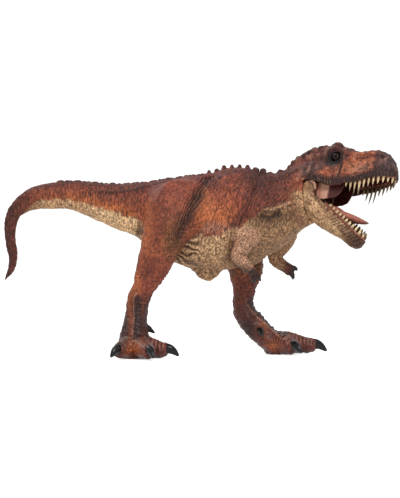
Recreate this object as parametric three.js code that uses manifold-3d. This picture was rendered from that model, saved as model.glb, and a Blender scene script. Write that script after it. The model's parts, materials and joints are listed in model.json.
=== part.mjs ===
// Toy dinosaur figure: a large two-legged theropod in mid stride with its mouth wide open.
// The torso is a hollow shell. The tail and the head are plugged into its two open ends, and the
// legs and arms are pegged into its flanks. The lower jaw turns on a steel pin through the skull.
// Millimetres, +Z up, +X towards the head, +Y towards the figure's left side, soles on z = 0.
import * as THREE from "three";
import { mergeVertices } from "three/addons/utils/BufferGeometryUtils.js";
import Module from "manifold-3d";

const wasm = await Module();
wasm.setup();

// Fits shared by all pieces
const seamGap = 0.3; // between two pieces that meet
const pegFit = 0.3; // round a peg or a plug in its hole
const cutOverrun = 30; // how far a cutting body runs past what it cuts
const sides = 18; // corners of one ring of a body loft
const limbSides = 12; // corners of one ring of a limb loft
const stepsPerStation = 2; // rings between two rows of a table

// Torso
const hipHeight = 111; // hip pegs above the ground
const torsoLength = 100.8; // from the tail seam to the neck seam
const torsoHeight = 78;
const torsoWidth = 51;
const shellWall = 3;
const keelDrop = 12; // how far the belly keel hangs below the torso
const keelWidth = 17;
const keelLength = 34;
const knobRadius = 2.6; // knobs along the back
const knobRise = 1.8;

// Tail
const tailLength = 98; // horizontally, from the tail seam to the tip
const tailDrop = 51; // from the tail seam down to the tip
const tailPlugLength = 9;

// Neck and head
const neckReach = 28; // from the neck seam to the jaw hinge, along X
const neckSwing = 8; // the same, towards the figure's right side
const neckRise = 10.2; // the same, upwards
const neckPlugLength = 8;
const headYaw = 32; // degrees towards the figure's right side
const headPitch = 8; // degrees, nose up
const headRoll = 20; // degrees, left side down
const skullReach = 65.6; // from the jaw hinge to the tip of the snout
const skullHeight = 32;
const skullWidth = 31.2;
const lipCornerRise = 5.4; // corner of the lips above the jaw hinge
const browRadius = 4.2;
const browLength = 5.5; // half of it, fore and aft
const eyeRadius = 3.3;
const eyeBulge = 1.2; // how far an eye stands out of the skull's side

// Upper mouth
const lipWall = 1.2; // outside the tooth strips
const cheekWall = 3;
const palateRise = 7.5; // ceiling of the mouth above the hinge
const vaultRise = 13; // ceiling of the groove over the tongue
const vaultWidth = 14.6;
const liningWall = 1.5;
const cheekSkinWall = 0.8;
const cheekSkinDrop = 9.5; // lowest point of the cheek skin below the hinge

// Teeth
const stripThickness = 1.6;
const stripHeight = 3;
const upperStripRise = 2.2; // underside of the upper strip above the hinge
const toothPitch = 3.6;
const toothRadius = 1.1;
const toothTipRadius = 0.4;
const upperToothLength = 13; // longest, below the strip's own underside
const lowerToothLength = 3.6; // longest, above the jaw's rim
const toothRoot = 1.2; // how far a tooth is sunk into its strip
const toothSides = 5;

// Lower jaw
const jawReach = 59.5; // from the hinge to the tip of the chin
const jawDepth = 17.5;
const jawWidth = 28.4;
const jawRimDrop = 1.2; // rim of the jaw below the hinge
const jawWall = 2.6;
const jawFloor = 4.5;
const lobeRadius = 5.2;
const bossWidth = 19.8; // skull's hinge boss, between the jaw's two lobes
const pinRadius = 1;
const pinLength = 25.4;
const mouthOpenAngle = 45; // degrees below the closed line, as the jaw stands at rest

// Tongue
const tongueLength = 38;
const tongueWidth = 11.6;
const tongueHeight = 9;

// Legs and feet
const stance = 27; // each ankle's distance from the middle plane
const thighLength = 44;
const thighWidth = 29;
const pegRoot = 5; // length of every limb's peg outwards from its hip or shoulder
const hipPegRadius = 6;
const hipPegReach = 7; // inwards from the hip
const toeHeight = 15.5;
const toeWidth = 13;
const innerToeLength = 23;
const middleToeLength = 29;
const outerToeLength = 22;
const clawLength = 9;
const dewclawLength = 9;
const rightFootHeading = -70; // degrees, direction of the middle toe from +X towards +Y
const leftFootHeading = 2;
const toeSpread = 55; // degrees between neighbouring toes
const dewclawTurn = 25; // degrees from the inner toe to the dewclaw
const scuteRadius = 2.6; // row of scutes down the instep
const scuteRise = 0.8;
const scuteStep = 3.6;
const instepLength = 27;

// Arms
const armLength = 36;
const armThickness = 16;
const shoulderPegRadius = 2.6;
const shoulderPegReach = 9; // inwards from the shoulder
const fingerThickness = 4.8;

// Vectors and small sums
const vector = (x, y, z) => new THREE.Vector3(x, y, z);
const degrees = (angle) => THREE.MathUtils.degToRad(angle);
const lengthwise = vector(1, 0, 0);
const sideways = vector(0, 1, 0);
const upwards = vector(0, 0, 1);

// A solid from a closed geometry.
function solidOf(geometry) {
  const bare = geometry.index ? geometry.toNonIndexed() : geometry.clone();
  bare.deleteAttribute("normal");
  bare.deleteAttribute("uv");
  const merged = mergeVertices(bare, 1e-4);
  return new wasm.Manifold(
    new wasm.Mesh({
      numProp: 3,
      vertProperties: new Float32Array(merged.attributes.position.array),
      triVerts: new Uint32Array(merged.index.array),
    }),
  );
}

// The geometry of a solid.
function geometryOf(solid) {
  const mesh = solid.getMesh();
  const geometry = new THREE.BufferGeometry();
  geometry.setAttribute("position", new THREE.BufferAttribute(mesh.vertProperties, 3));
  geometry.setIndex(new THREE.BufferAttribute(mesh.triVerts, 1));
  return geometry;
}

// A solid turned and moved by a matrix.
function moved(solid, matrix) {
  return solidOf(geometryOf(solid).applyMatrix4(matrix));
}

const joined = (solids) => solids.reduce((all, one) => all.add(one));

// A box between two corners.
function boxBetween(from, to) {
  const size = to.clone().sub(from);
  const centre = to.clone().add(from).multiplyScalar(0.5);
  return solidOf(new THREE.BoxGeometry(size.x, size.y, size.z).translate(centre.x, centre.y, centre.z));
}

// A round or many-sided rod between two points.
function rod(from, to, radius, corners = 20) {
  const run = to.clone().sub(from);
  const geometry = new THREE.CylinderGeometry(radius, radius, run.length(), corners);
  const turn = new THREE.Quaternion().setFromUnitVectors(sideways, run.clone().normalize());
  const centre = to.clone().add(from).multiplyScalar(0.5);
  return solidOf(geometry.applyQuaternion(turn).translate(centre.x, centre.y, centre.z));
}

// An ellipsoid with three half axes.
function ellipsoid(centre, halfAxes) {
  const ball = new THREE.SphereGeometry(1, 12, 8);
  return solidOf(ball.scale(halfAxes.x, halfAxes.y, halfAxes.z).translate(centre.x, centre.y, centre.z));
}

// A closed skin over rings of equally many points, capped at both ends.
function skinOver(rings) {
  const count = rings[0].length;
  const middleOf = (ring) =>
    ring.reduce((sum, point) => sum.add(point), vector(0, 0, 0)).divideScalar(ring.length);
  const points = [...rings.flat(), middleOf(rings[0]), middleOf(rings[rings.length - 1])];
  const firstCap = rings.length * count;
  const corners = [];
  for (let i = 0; i < count; i++) {
    const next = (i + 1) % count;
    for (let r = 0; r + 1 < rings.length; r++) {
      const here = r * count;
      const ahead = here + count;
      corners.push(here + i, here + next, ahead + next, here + i, ahead + next, ahead + i);
    }
    const last = (rings.length - 1) * count;
    corners.push(firstCap, next, i, firstCap + 1, last + i, last + next);
  }
  const geometry = new THREE.BufferGeometry().setFromPoints(points);
  geometry.setIndex(corners);
  const solid = solidOf(geometry);
  if (solid.volume() > 0) return solid;
  geometry.setIndex(corners.reverse());
  return solidOf(geometry);
}

// A smooth run through table rows: each row has a place and some sizes, and the run gives both
// at any row number, fractions included. Its direction is that of a chord over its neighbours, so
// that rings at a bend lean evenly.
const chordShare = 0.9;
function smoothRun(places, sizes) {
  const last = places.length - 1;
  const placeCurve = new THREE.CatmullRomCurve3(places, false, "catmullrom", 0.5);
  const sizeCurve = new THREE.CatmullRomCurve3(sizes, false, "catmullrom", 0.5);
  return {
    last,
    place: (row) => placeCurve.getPoint(row / last),
    size: (row) => sizeCurve.getPoint(row / last),
    direction: (row) => {
      const [from, to] = [Math.max(row - chordShare, 0), Math.min(row + chordShare, last)];
      return placeCurve.getPoint(to / last).sub(placeCurve.getPoint(from / last)).normalize();
    },
    spacing: (row) => {
      const step = 0.02;
      const from = Math.min(Math.max(row - step / 2, 0), last - step);
      const [here, ahead] = [placeCurve.getPoint(from / last), placeCurve.getPoint((from + step) / last)];
      return here.distanceTo(ahead) / step;
    },
  };
}

// Row numbers from one to another, with every table row kept as a ring of its own.
function rowsBetween(from, to, steps = stepsPerStation) {
  const rows = [from];
  for (let k = Math.ceil(from * steps + 0.3); k < to * steps - 0.3; k++) rows.push(k / steps);
  rows.push(to);
  return rows;
}

// One oval ring. size.x is half its width along the side direction, size.y half its height,
// and size.z turns it about the run's direction, in degrees.
function ovalRing(centre, direction, side, size, corners) {
  const across = side.clone().addScaledVector(direction, -side.dot(direction)).normalize();
  across.applyAxisAngle(direction, degrees(size.z));
  const high = across.clone().cross(direction).normalize();
  return Array.from({ length: corners }, (_, i) => {
    const angle = (2 * Math.PI * i) / corners;
    return centre
      .clone()
      .addScaledVector(across, size.x * Math.cos(angle))
      .addScaledVector(high, size.y * Math.sin(angle));
  });
}

// A loft of oval rings along a run, between two row numbers, thinner by an inset all round.
function ovalLoft(run, { from = 0, to = run.last, inset = 0, side = sideways, corners = limbSides, steps }) {
  const rings = rowsBetween(from, to, steps).map((row) => {
    const size = run.size(row);
    const shrunk = vector(size.x - inset, size.y - inset, size.z);
    return ovalRing(run.place(row), run.direction(row), side, shrunk, corners);
  });
  return skinOver(rings);
}

// Body line: one smooth run from the tip of the tail to the skull, which the tail, the torso and
// the neck are cut from, so that their surfaces meet flush at the seams.
const hipAlongShare = 0.338;

// Torso rows: along its length, rise above the hips, half height, half width.
const torsoShares = [
  [0, -0.067, 0.256, 0.294],
  [0.143, -0.108, 0.335, 0.353],
  [0.286, -0.15, 0.412, 0.412],
  [0.429, -0.18, 0.452, 0.451],
  [0.572, -0.175, 0.455, 0.475],
  [0.714, -0.135, 0.471, 0.5],
  [0.828, -0.096, 0.423, 0.49],
  [0.915, -0.077, 0.372, 0.445],
  [1, -0.033, 0.328, 0.373],
];

// Tail rows from the seam to the tip: along its length, drop, and size against the seam's.
const tailShares = [
  [0.145, -0.045, 0.84],
  [0.27, -0.095, 0.72],
  [0.405, -0.165, 0.6],
  [0.52, -0.2, 0.53],
  [0.645, -0.19, 0.49],
  [0.78, -0.155, 0.41],
  [0.865, -0.07, 0.33],
  [0.93, 0.05, 0.265],
  [0.96, 0.265, 0.215],
  [0.955, 0.48, 0.185],
  [0.935, 0.68, 0.155],
  [0.955, 0.86, 0.11],
  [1, 1, 0.045],
];

// Neck rows from the seam to the skull: reach, swing, rise, height and width against the seam's,
// and roll against the head's.
const neckShares = [
  [0.23, 0.1, 0.28, 0.89, 0.87, 0.25],
  [0.5, 0.29, 0.6, 0.85, 0.8, 0.6],
  [0.78, 0.6, 0.85, 0.86, 0.76, 0.9],
  [1.093, 1.125, 1, 0.87, 0.74, 1],
];

const torsoPlace = (alongShare, riseShare) =>
  vector((alongShare - hipAlongShare) * torsoLength, 0, hipHeight + riseShare * torsoHeight);
const [tailSeamRow, neckSeamRow] = [torsoShares[0], torsoShares[torsoShares.length - 1]];
const tailSeam = torsoPlace(tailSeamRow[0], tailSeamRow[1]);
const neckSeam = torsoPlace(neckSeamRow[0], neckSeamRow[1]);
const tailSeamSize = vector(tailSeamRow[3] * torsoWidth, tailSeamRow[2] * torsoHeight, 0);
const neckSeamSize = vector(neckSeamRow[3] * torsoWidth, neckSeamRow[2] * torsoHeight, 0);

const tailPlaces = tailShares.map(([along, drop]) =>
  tailSeam.clone().add(vector(-along * tailLength, 0, -drop * tailDrop)),
);
const tailSizes = tailShares.map(([, , size]) => tailSeamSize.clone().multiplyScalar(size));
const neckPlaces = neckShares.map(([reach, swing, rise]) =>
  neckSeam.clone().add(vector(reach * neckReach, -swing * neckSwing, rise * neckRise)),
);
const neckSizes = neckShares.map(([, , , height, width, roll]) =>
  vector(neckSeamSize.x * width, neckSeamSize.y * height, -roll * headRoll),
);

const bodyLine = smoothRun(
  [
    ...tailPlaces.toReversed(),
    ...torsoShares.map(([along, rise]) => torsoPlace(along, rise)),
    ...neckPlaces,
  ],
  [
    ...tailSizes.toReversed(),
    ...torsoShares.map(([, , height, width]) => vector(width * torsoWidth, height * torsoHeight, 0)),
    ...neckSizes,
  ],
);
const tailSeamAt = tailShares.length;
const neckSeamAt = tailSeamAt + torsoShares.length - 1;

// A row number that lies a distance further along the body line.
const rowPast = (row, distance) => row + distance / bodyLine.spacing(row);
const bodyPiece = (from, to, inset = 0) => ovalLoft(bodyLine, { from, to, inset, corners: sides });

// The belly keel, where the hip bones reach down between the thighs. Rows: along, drop of the
// underside, half width.
const keelPlaceShares = [0.49, -0.63];
const keelShares = [
  [-0.62, -0.55, 0.36],
  [-0.42, -0.1, 0.42],
  [-0.2, 0.48, 0.42],
  [0, 0.78, 0.38],
  [0.16, 0.5, 0.36],
  [0.33, -0.1, 0.33],
  [0.46, -0.55, 0.3],
];
const keelHalfHeightShare = 1.2;

function keel(extra) {
  const place = torsoPlace(...keelPlaceShares);
  const halfHeight = keelHalfHeightShare * keelDrop;
  const rings = keelShares.map(([along, drop, width]) => {
    const centre = place.clone().add(vector(along * keelLength, 0, halfHeight - drop * keelDrop));
    const size = vector(width * keelWidth + extra, halfHeight + extra, 0);
    return ovalRing(centre, lengthwise, sideways, size, 12);
  });
  return skinOver(rings);
}

// The torso's outer form, larger all round by an extra size.
function torsoForm(extra) {
  const trunk = bodyPiece(
    rowPast(tailSeamAt, seamGap / 2 - extra),
    rowPast(neckSeamAt, extra - seamGap / 2),
    -extra,
  );
  return trunk.add(keel(extra));
}

// The row of knobs along the back, over the shoulders and the ribs. Places along the torso.
const firstKnobShare = 0.49;
const knobStepShare = 0.055;
const knobCount = 8;

// The top of a ring of the body line.
function crownAt(row) {
  const rise = bodyLine.direction(row).cross(sideways);
  return bodyLine.place(row).addScaledVector(rise, bodyLine.size(row).y);
}

function backKnobs() {
  const crownRun = { last: bodyLine.last, place: crownAt };
  const knobs = Array.from({ length: knobCount }, (_, k) => {
    const crown = crownAt(rowAt(crownRun, torsoPlace(firstKnobShare + k * knobStepShare, 0).x));
    const knob = new THREE.CylinderGeometry(knobRadius / 4, knobRadius, 2 * knobRise, 8);
    return solidOf(knob.rotateX(Math.PI / 2).translate(crown.x, crown.y, crown.z));
  });
  return joined(knobs);
}

// Legs
// Rows of the right leg: fall from the hips to the ground, reach along X against the torso's length,
// distance from the middle plane, half length fore and aft, half width.
const rightLegShares = [
  [-0.148, 0.033, 0.5, 0.22, 0.16],
  [-0.075, 0, 0.62, 0.43, 0.34],
  [0.033, -0.066, 0.74, 0.5, 0.46],
  [0.137, -0.132, 0.83, 0.43, 0.5],
  [0.241, -0.182, 0.89, 0.35, 0.47],
  [0.345, -0.217, 0.93, 0.3, 0.42],
  [0.449, -0.266, 0.96, 0.26, 0.36],
  [0.54, -0.309, 0.98, 0.2, 0.3],
  [0.623, -0.352, 1, 0.19, 0.27],
  [0.708, -0.363, 1, 0.19, 0.25],
  [0.8, -0.378, 1.02, 0.21, 0.29],
  [0.877, -0.38, 1.04, 0.27, 0.38],
  [0.95, -0.369, 1.07, 0.29, 0.42],
  [1.02, -0.363, 1.07, 0.26, 0.4],
];
// The same for the left leg, which is set forward.
const leftLegShares = [
  [-0.1, 0.055, 0.5, 0.2, 0.16],
  [-0.02, 0.099, 0.62, 0.38, 0.34],
  [0.07, 0.171, 0.72, 0.45, 0.46],
  [0.165, 0.248, 0.8, 0.44, 0.48],
  [0.27, 0.325, 0.86, 0.38, 0.45],
  [0.36, 0.391, 0.9, 0.33, 0.41],
  [0.437, 0.418, 0.92, 0.3, 0.37],
  [0.507, 0.415, 0.93, 0.26, 0.33],
  [0.58, 0.407, 0.94, 0.2, 0.28],
  [0.65, 0.399, 0.94, 0.175, 0.25],
  [0.71, 0.403, 0.94, 0.19, 0.26],
  [0.775, 0.443, 0.94, 0.2, 0.28],
  [0.838, 0.504, 0.94, 0.2, 0.32],
  [0.9, 0.573, 0.94, 0.19, 0.36],
  [0.955, 0.622, 0.94, 0.17, 0.37],
  [1.02, 0.65, 0.94, 0.15, 0.34],
];

// Toe rows: along the toe, middle height, half height, half width.
const toeShares = [
  [0, 0.6, 0.5, 0.5],
  [0.4, 0.55, 0.52, 0.52],
  [0.7, 0.44, 0.42, 0.47],
  [0.9, 0.4, 0.38, 0.45],
  [1, 0.38, 0.26, 0.32],
];
// Claw rows: along the claw, middle height, half height, half width, against the toe's sizes.
const clawShares = [
  [-0.4, 0.46, 0.24, 0.24],
  [0.1, 0.46, 0.22, 0.22],
  [0.6, 0.34, 0.14, 0.14],
  [1, 0.14, 0.04, 0.04],
];

// A toe with its claw, from a point on the ground along a heading in degrees.
function toe(start, heading, length) {
  const forward = lengthwise.clone().applyAxisAngle(upwards, degrees(heading));
  const side = sideways.clone().applyAxisAngle(upwards, degrees(heading));
  const placed = (distance, heightShare) =>
    start.clone().addScaledVector(forward, distance).addScaledVector(upwards, heightShare * toeHeight);
  const sized = (heightShare, widthShare) => vector(widthShare * toeWidth, heightShare * toeHeight, 0);
  const flesh = smoothRun(
    toeShares.map(([along, middle]) => placed(along * length, middle)),
    toeShares.map(([, , height, width]) => sized(height, width)),
  );
  const claw = smoothRun(
    clawShares.map(([along, middle]) => placed(length + along * clawLength, middle)),
    clawShares.map(([, , height, width]) => sized(height, width)),
  );
  return ovalLoft(flesh, { side, corners: 10 }).add(ovalLoft(claw, { side, corners: 8 }));
}

// The small first toe, which doesn't reach the ground.
function dewclaw(start, heading) {
  const forward = lengthwise.clone().applyAxisAngle(upwards, degrees(heading));
  const side = sideways.clone().applyAxisAngle(upwards, degrees(heading));
  const along = (share) => start.clone().addScaledVector(forward, share * dewclawLength);
  const rootRadius = toeWidth / 4;
  const run = smoothRun(
    [
      along(-0.5),
      along(0.3),
      along(1).addScaledVector(upwards, -0.5 * dewclawLength),
    ],
    [1, 0.8, 0.15].map((share) => vector(share * rootRadius, share * rootRadius, 0)),
  );
  return ovalLoft(run, { side, corners: 10 });
}

// The row of scutes down the instep, on the side that the middle toe points to.
function instepScutes(run, heading) {
  const forward = lengthwise.clone().applyAxisAngle(upwards, degrees(heading));
  const halfAxes = vector(scuteRadius, scuteRadius, scuteRadius);
  const count = Math.floor(instepLength / scuteStep);
  let row = run.last - 1;
  const scutes = Array.from({ length: count }, () => {
    row -= scuteStep / run.spacing(row);
    const direction = run.direction(row);
    const size = run.size(row);
    const across = sideways.clone().addScaledVector(direction, -sideways.dot(direction)).normalize();
    const front = forward.clone().addScaledVector(direction, -forward.dot(direction)).normalize();
    const skin = 1 / Math.hypot(front.dot(across) / size.x, front.dot(across.cross(direction)) / size.y);
    return ellipsoid(run.place(row).addScaledVector(front, skin + scuteRise - scuteRadius), halfAxes);
  });
  return joined(scutes);
}

const ground = boxBetween(
  vector(-tailLength - torsoLength, -torsoLength, -cutOverrun),
  vector(tailLength + torsoLength, torsoLength, 0),
);

// A leg in one moulding, from the crown of the thigh to the claws. hand is -1 for the right leg and
// 1 for the left; heading is the direction of its middle toe.
function leg(rows, hand, heading) {
  const run = smoothRun(
    rows.map(([fall, reach, out]) =>
      vector(reach * torsoLength, hand * out * stance, hipHeight * (1 - fall)),
    ),
    rows.map(([, , , long, wide]) => vector(wide * thighWidth, long * thighLength, 0)),
  );
  const foot = run.place(run.last - 1).setZ(0);
  const ankle = run.place(run.last - 3);
  const inward = -hand;
  const toes = [
    toe(foot, heading + inward * toeSpread, innerToeLength),
    toe(foot, heading, middleToeLength),
    toe(foot, heading - inward * toeSpread, outerToeLength),
  ];
  const dewclawHeading = heading + inward * (toeSpread + dewclawTurn);
  const footSide = lengthwise.clone().applyAxisAngle(upwards, degrees(dewclawHeading));
  const dewclawRoot = ankle.clone().addScaledVector(footSide, 0.2 * thighWidth);
  const first = dewclaw(dewclawRoot, dewclawHeading);
  return joined([ovalLoft(run, {}), ...toes, first, instepScutes(run, heading)]).subtract(ground);
}

// A keyed peg from inside a limb through the torso's wall, larger by a fit.
function peg(place, radius, reach, fit, corners) {
  const hand = Math.sign(place.y);
  const outer = place.clone().add(vector(0, hand * pegRoot, 0));
  const inner = place.clone().add(vector(0, -hand * (reach + fit), 0));
  return rod(inner, outer, radius + fit, corners);
}

// Arms
// Arm rows from the shoulder to the wrist: along X, away from the middle plane, upwards, radius.
const rightArmShares = [
  [0, -0.12, 0.02, 0.42],
  [-0.06, 0.02, -0.14, 0.43],
  [-0.12, 0.12, -0.28, 0.37],
  [-0.18, 0.16, -0.4, 0.31],
  [-0.1, 0.17, -0.48, 0.29],
  [-0.02, 0.15, -0.57, 0.26],
  [0.06, 0.12, -0.68, 0.27],
];
const leftArmShares = [
  [0, -0.12, 0.04, 0.56],
  [0.05, 0.02, -0.15, 0.55],
  [-0.055, 0.12, -0.39, 0.42],
  [-0.165, 0.14, -0.58, 0.33],
  [-0.1, 0.13, -0.68, 0.3],
  [0.055, 0.1, -0.78, 0.27],
  [0.165, 0.06, -0.86, 0.27],
];
// Finger rows from the wrist to the tips: along X, away from the middle plane, upwards.
const rightFingerShares = [
  [
    [0.05, 0.12, -0.66],
    [0.14, 0.1, -0.84],
    [0.18, 0.07, -0.97],
  ],
  [
    [0.08, 0.1, -0.66],
    [0.22, 0.06, -0.78],
    [0.29, 0.02, -0.91],
  ],
];
const leftFingerShares = [
  [
    [0.12, 0.08, -0.83],
    [0.25, 0.05, -0.8],
    [0.3, 0.02, -0.85],
  ],
  [
    [0.12, 0.07, -0.84],
    [0.2, 0.03, -0.95],
    [0.21, 0, -1.04],
  ],
];

// An arm in one moulding, hung from a shoulder point, with the shoulder's muscle over its peg.
const muscleShares = [0.66, 0.45, 0.56];

function arm(shoulder, pegPlace, rows, fingers, hand) {
  const placed = ([x, out, z]) =>
    shoulder.clone().add(vector(x, hand * out, z).multiplyScalar(armLength));
  const limb = smoothRun(
    rows.map(placed),
    rows.map(([, , , radius]) => vector(radius * armThickness, radius * armThickness, 0)),
  );
  const fingerTaper = [1, 0.85, 0.3];
  const digits = fingers.map((points) => {
    const sizes = fingerTaper.map((share) => vector(share, share, 0).multiplyScalar(fingerThickness / 2));
    return ovalLoft(smoothRun(points.map(placed), sizes), { corners: 8 });
  });
  const muscle = ellipsoid(
    pegPlace.clone().lerp(shoulder, 0.5),
    vector(...muscleShares).multiplyScalar(armThickness),
  );
  return joined([ovalLoft(limb, {}), muscle, ...digits]);
}

// Head frame: origin on the jaw hinge, +X to the snout, +Y to the head's left, +Z up.
const hinge = neckSeam.clone().add(vector(neckReach, -neckSwing, neckRise));
const headTurn = new THREE.Euler(degrees(-headRoll), degrees(-headPitch), degrees(-headYaw), "ZYX");
const headMatrix = new THREE.Matrix4().makeRotationFromEuler(headTurn).setPosition(hinge);
const intoHead = headMatrix.clone().invert();

// Skull rows: reach, lip line, roof, half width.
const skullShares = [
  [-0.36, 0.3, 0.68, 0.3],
  [-0.2, 0.2, 0.9, 0.43],
  [-0.07, 0.17, 0.98, 0.485],
  [0.05, 0.12, 1, 0.5],
  [0.15, 0.03, 1, 0.5],
  [0.245, -0.05, 0.99, 0.49],
  [0.365, -0.06, 0.93, 0.47],
  [0.47, -0.06, 0.82, 0.455],
  [0.565, -0.06, 0.75, 0.445],
  [0.685, -0.02, 0.755, 0.425],
  [0.79, 0.02, 0.745, 0.395],
  [0.885, 0.045, 0.63, 0.335],
  [0.95, 0.055, 0.43, 0.23],
  [1, 0.1, 0.22, 0.05],
];
// Half of the skull's section from the lip to the crown: across, up.
const skullSectionShares = [
  [0, 0],
  [0.5, 0],
  [0.92, 0],
  [1, 0.07],
  [1, 0.2],
  [0.96, 0.38],
  [0.88, 0.55],
  [0.85, 0.7],
  [0.78, 0.86],
  [0.58, 0.96],
  [0.3, 1],
  [0, 0.98],
];
// Jaw rows: reach, underside, half width.
const jawShares = [
  [-0.065, -0.5, 0.48],
  [0.03, -0.78, 0.49],
  [0.13, -0.95, 0.49],
  [0.22, -1, 0.47],
  [0.35, -1, 0.425],
  [0.45, -0.92, 0.375],
  [0.57, -0.83, 0.34],
  [0.75, -0.67, 0.31],
  [0.86, -0.64, 0.28],
  [0.93, -0.61, 0.225],
  [0.98, -0.47, 0.14],
  [1, -0.3, 0.04],
];
// Half of the jaw's section from the underside to the rim: across, up.
const jawSectionShares = [
  [0, 0],
  [0.42, 0.03],
  [0.74, 0.15],
  [0.93, 0.36],
  [1, 0.62],
  [0.98, 0.85],
  [0.95, 1],
  [0.5, 1],
  [0, 1],
];

// A run of sections that all stand square to X: place.x is the reach, size.x the half width, size.y
// the lower height and size.z the upper height.
const skullRun = smoothRun(
  skullShares.map(([reach]) => vector(reach * skullReach, 0, 0)),
  skullShares.map(([, lip, roof, width]) =>
    vector(width * skullWidth, lip * skullHeight, roof * skullHeight),
  ),
);
const jawRun = smoothRun(
  jawShares.map(([reach]) => vector(reach * jawReach, 0, 0)),
  jawShares.map(([, underside, width]) =>
    vector(width * jawWidth, underside * jawDepth, -jawRimDrop),
  ),
);

// A loft over such a run. widen, raise and lift change the half width and the two heights.
function sectionLoft(run, half, { from = 0, to = run.last, widen = 0, raise = 0, lift = 0 }) {
  const mirrored = half.slice(1, -1).map(([across, up]) => [-across, up]);
  const outline = [...half, ...mirrored.toReversed()];
  const rings = rowsBetween(from, to).map((row) => {
    const size = run.size(row);
    const [low, high] = [size.y + raise, size.z + lift];
    return outline.map(([across, up]) =>
      vector(run.place(row).x, across * (size.x + widen), low + up * (high - low)),
    );
  });
  return skinOver(rings);
}

// The row number at which a run of sections reaches an x.
function rowAt(run, x) {
  let [low, high] = [0, run.last];
  for (let i = 0; i < 30; i++) {
    const middle = (low + high) / 2;
    if (run.place(middle).x < x) low = middle;
    else high = middle;
  }
  return low;
}

// The outline of a run seen from above, drawn in by an inset, from x = start round the front.
// Its points go from the right side round the tip to the left side.
function outlineOf(run, start, inset) {
  const rows = rowsBetween(rowAt(run, start), run.last);
  const right = rows.map((row) => new THREE.Vector2(run.place(row).x, -run.size(row).x));
  const outward = right.map((point, i) => {
    const along = right[Math.min(i + 1, right.length - 1)].clone().sub(right[Math.max(i - 1, 0)]);
    return new THREE.Vector2(along.y, -along.x).normalize();
  });
  const drawnIn = right.map((point, i) => point.clone().addScaledVector(outward[i], -inset));
  const kept = drawnIn.filter((point) => point.y < 0);
  const left = kept.map((point) => new THREE.Vector2(point.x, -point.y)).toReversed();
  return [...kept, ...left];
}

// An upright prism over an outline between two heights.
function prism(outline, low, high) {
  const shape = new THREE.Shape(outline);
  const geometry = new THREE.ExtrudeGeometry(shape, { depth: high - low, bevelEnabled: false });
  return solidOf(geometry.translate(0, 0, low));
}

// A strip with a row of teeth. Its outer and inner outlines carry it; the teeth stand at equal
// steps on the line between them, and point down or up with sense.
function toothRow(run, start, inset, low, lengthOf, sense) {
  const outer = outlineOf(run, start, inset);
  const inner = outlineOf(run, start, inset + stripThickness);
  const band = prism(outer, low, low + stripHeight);
  const hollow = prism(inner, low - stripHeight, low + 2 * stripHeight);
  const behind = boxBetween(
    vector(start - cutOverrun, -cutOverrun, -cutOverrun),
    vector(start + stripThickness / 2, cutOverrun, cutOverrun),
  );
  const middle = outlineOf(run, start, inset + stripThickness / 2);
  const lengths = [0];
  middle.slice(1).forEach((point, i) => lengths.push(lengths[i] + point.distanceTo(middle[i])));
  const total = lengths[lengths.length - 1];
  const at = (distance) => {
    const i = Math.max(1, lengths.findIndex((length) => length >= distance));
    const share = (distance - lengths[i - 1]) / (lengths[i] - lengths[i - 1]);
    return middle[i - 1].clone().lerp(middle[i], share);
  };
  const perSide = Math.floor((total / 2 - toothRadius) / toothPitch);
  const teeth = [];
  for (let k = -perSide; k < perSide; k++) {
    const point = at(total / 2 + (k + 0.5) * toothPitch);
    const reach = lengthOf(Math.abs(k + 0.5) / perSide);
    const length = reach + toothRoot;
    const tooth = new THREE.CylinderGeometry(toothTipRadius, toothRadius, length, toothSides);
    tooth.rotateX((sense * Math.PI) / 2);
    const face = sense > 0 ? low + stripHeight : low;
    tooth.translate(point.x, point.y, face + (sense * (reach - toothRoot)) / 2);
    teeth.push(solidOf(tooth));
  }
  return joined([band.subtract(hollow).subtract(behind), ...teeth]);
}

// Hinge
const bossReach = bossWidth / 2;
const axisPoint = (across) => vector(0, across, 0);
const lobeInside = bossReach + seamGap;
const seamPlane = -(lobeRadius + seamGap); // face of the throat that the open jaw rests against
const jawOpenTurn = new THREE.Matrix4().makeRotationY(degrees(mouthOpenAngle));
const jawClosedTurn = jawOpenTurn.clone().invert();
const boreReach = pinLength / 2 + pegFit;
const pinBore = rod(axisPoint(-boreReach), axisPoint(boreReach), pinRadius + pegFit);

// Everything in front of the throat's seam face and below the corner of the lips.
const jawRoom = boxBetween(
  vector(seamPlane, -cutOverrun, -2 * cutOverrun),
  vector(seamPlane + cutOverrun, cutOverrun, lipCornerRise),
);

// Eyes
const eyePlace = (hand) => {
  const [reachShare, riseShare] = [0.302, 0.64];
  const row = rowAt(skullRun, reachShare * skullReach);
  const wallShare = 0.85;
  const across = wallShare * skullRun.size(row).x + eyeBulge - eyeRadius;
  return vector(reachShare * skullReach, hand * across, riseShare * skullHeight);
};
const eyeAxes = (extra) => vector(eyeRadius + extra, eyeRadius + extra, eyeRadius + extra);
const eye = (hand, extra = 0) => ellipsoid(eyePlace(hand), eyeAxes(extra));

// Brow knobs over the eyes.
function brow(hand) {
  const place = eyePlace(hand);
  const centre = vector(place.x - browRadius / 3, hand * 0.27 * skullWidth, skullHeight - 0.8 * browRadius);
  return ellipsoid(centre, vector(browLength, browRadius, browRadius));
}

// Mouth: the room inside the upper jaw, and the lining under its ceiling
const toothRowStart = 0.4 * skullReach;
const mouthStart = lobeRadius + 2 * seamGap;
const cheekHalf = bossReach + seamGap;

const vaultEnd = 0.84 * skullReach;
const skullOutline = (start, inset) => outlineOf(skullRun, start, inset);

// A box in the head frame that is as far to the left as to the right.
const centredBox = (fromX, toX, half, low, high) =>
  boxBetween(vector(fromX, -half, low), vector(toX, half, high));

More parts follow.
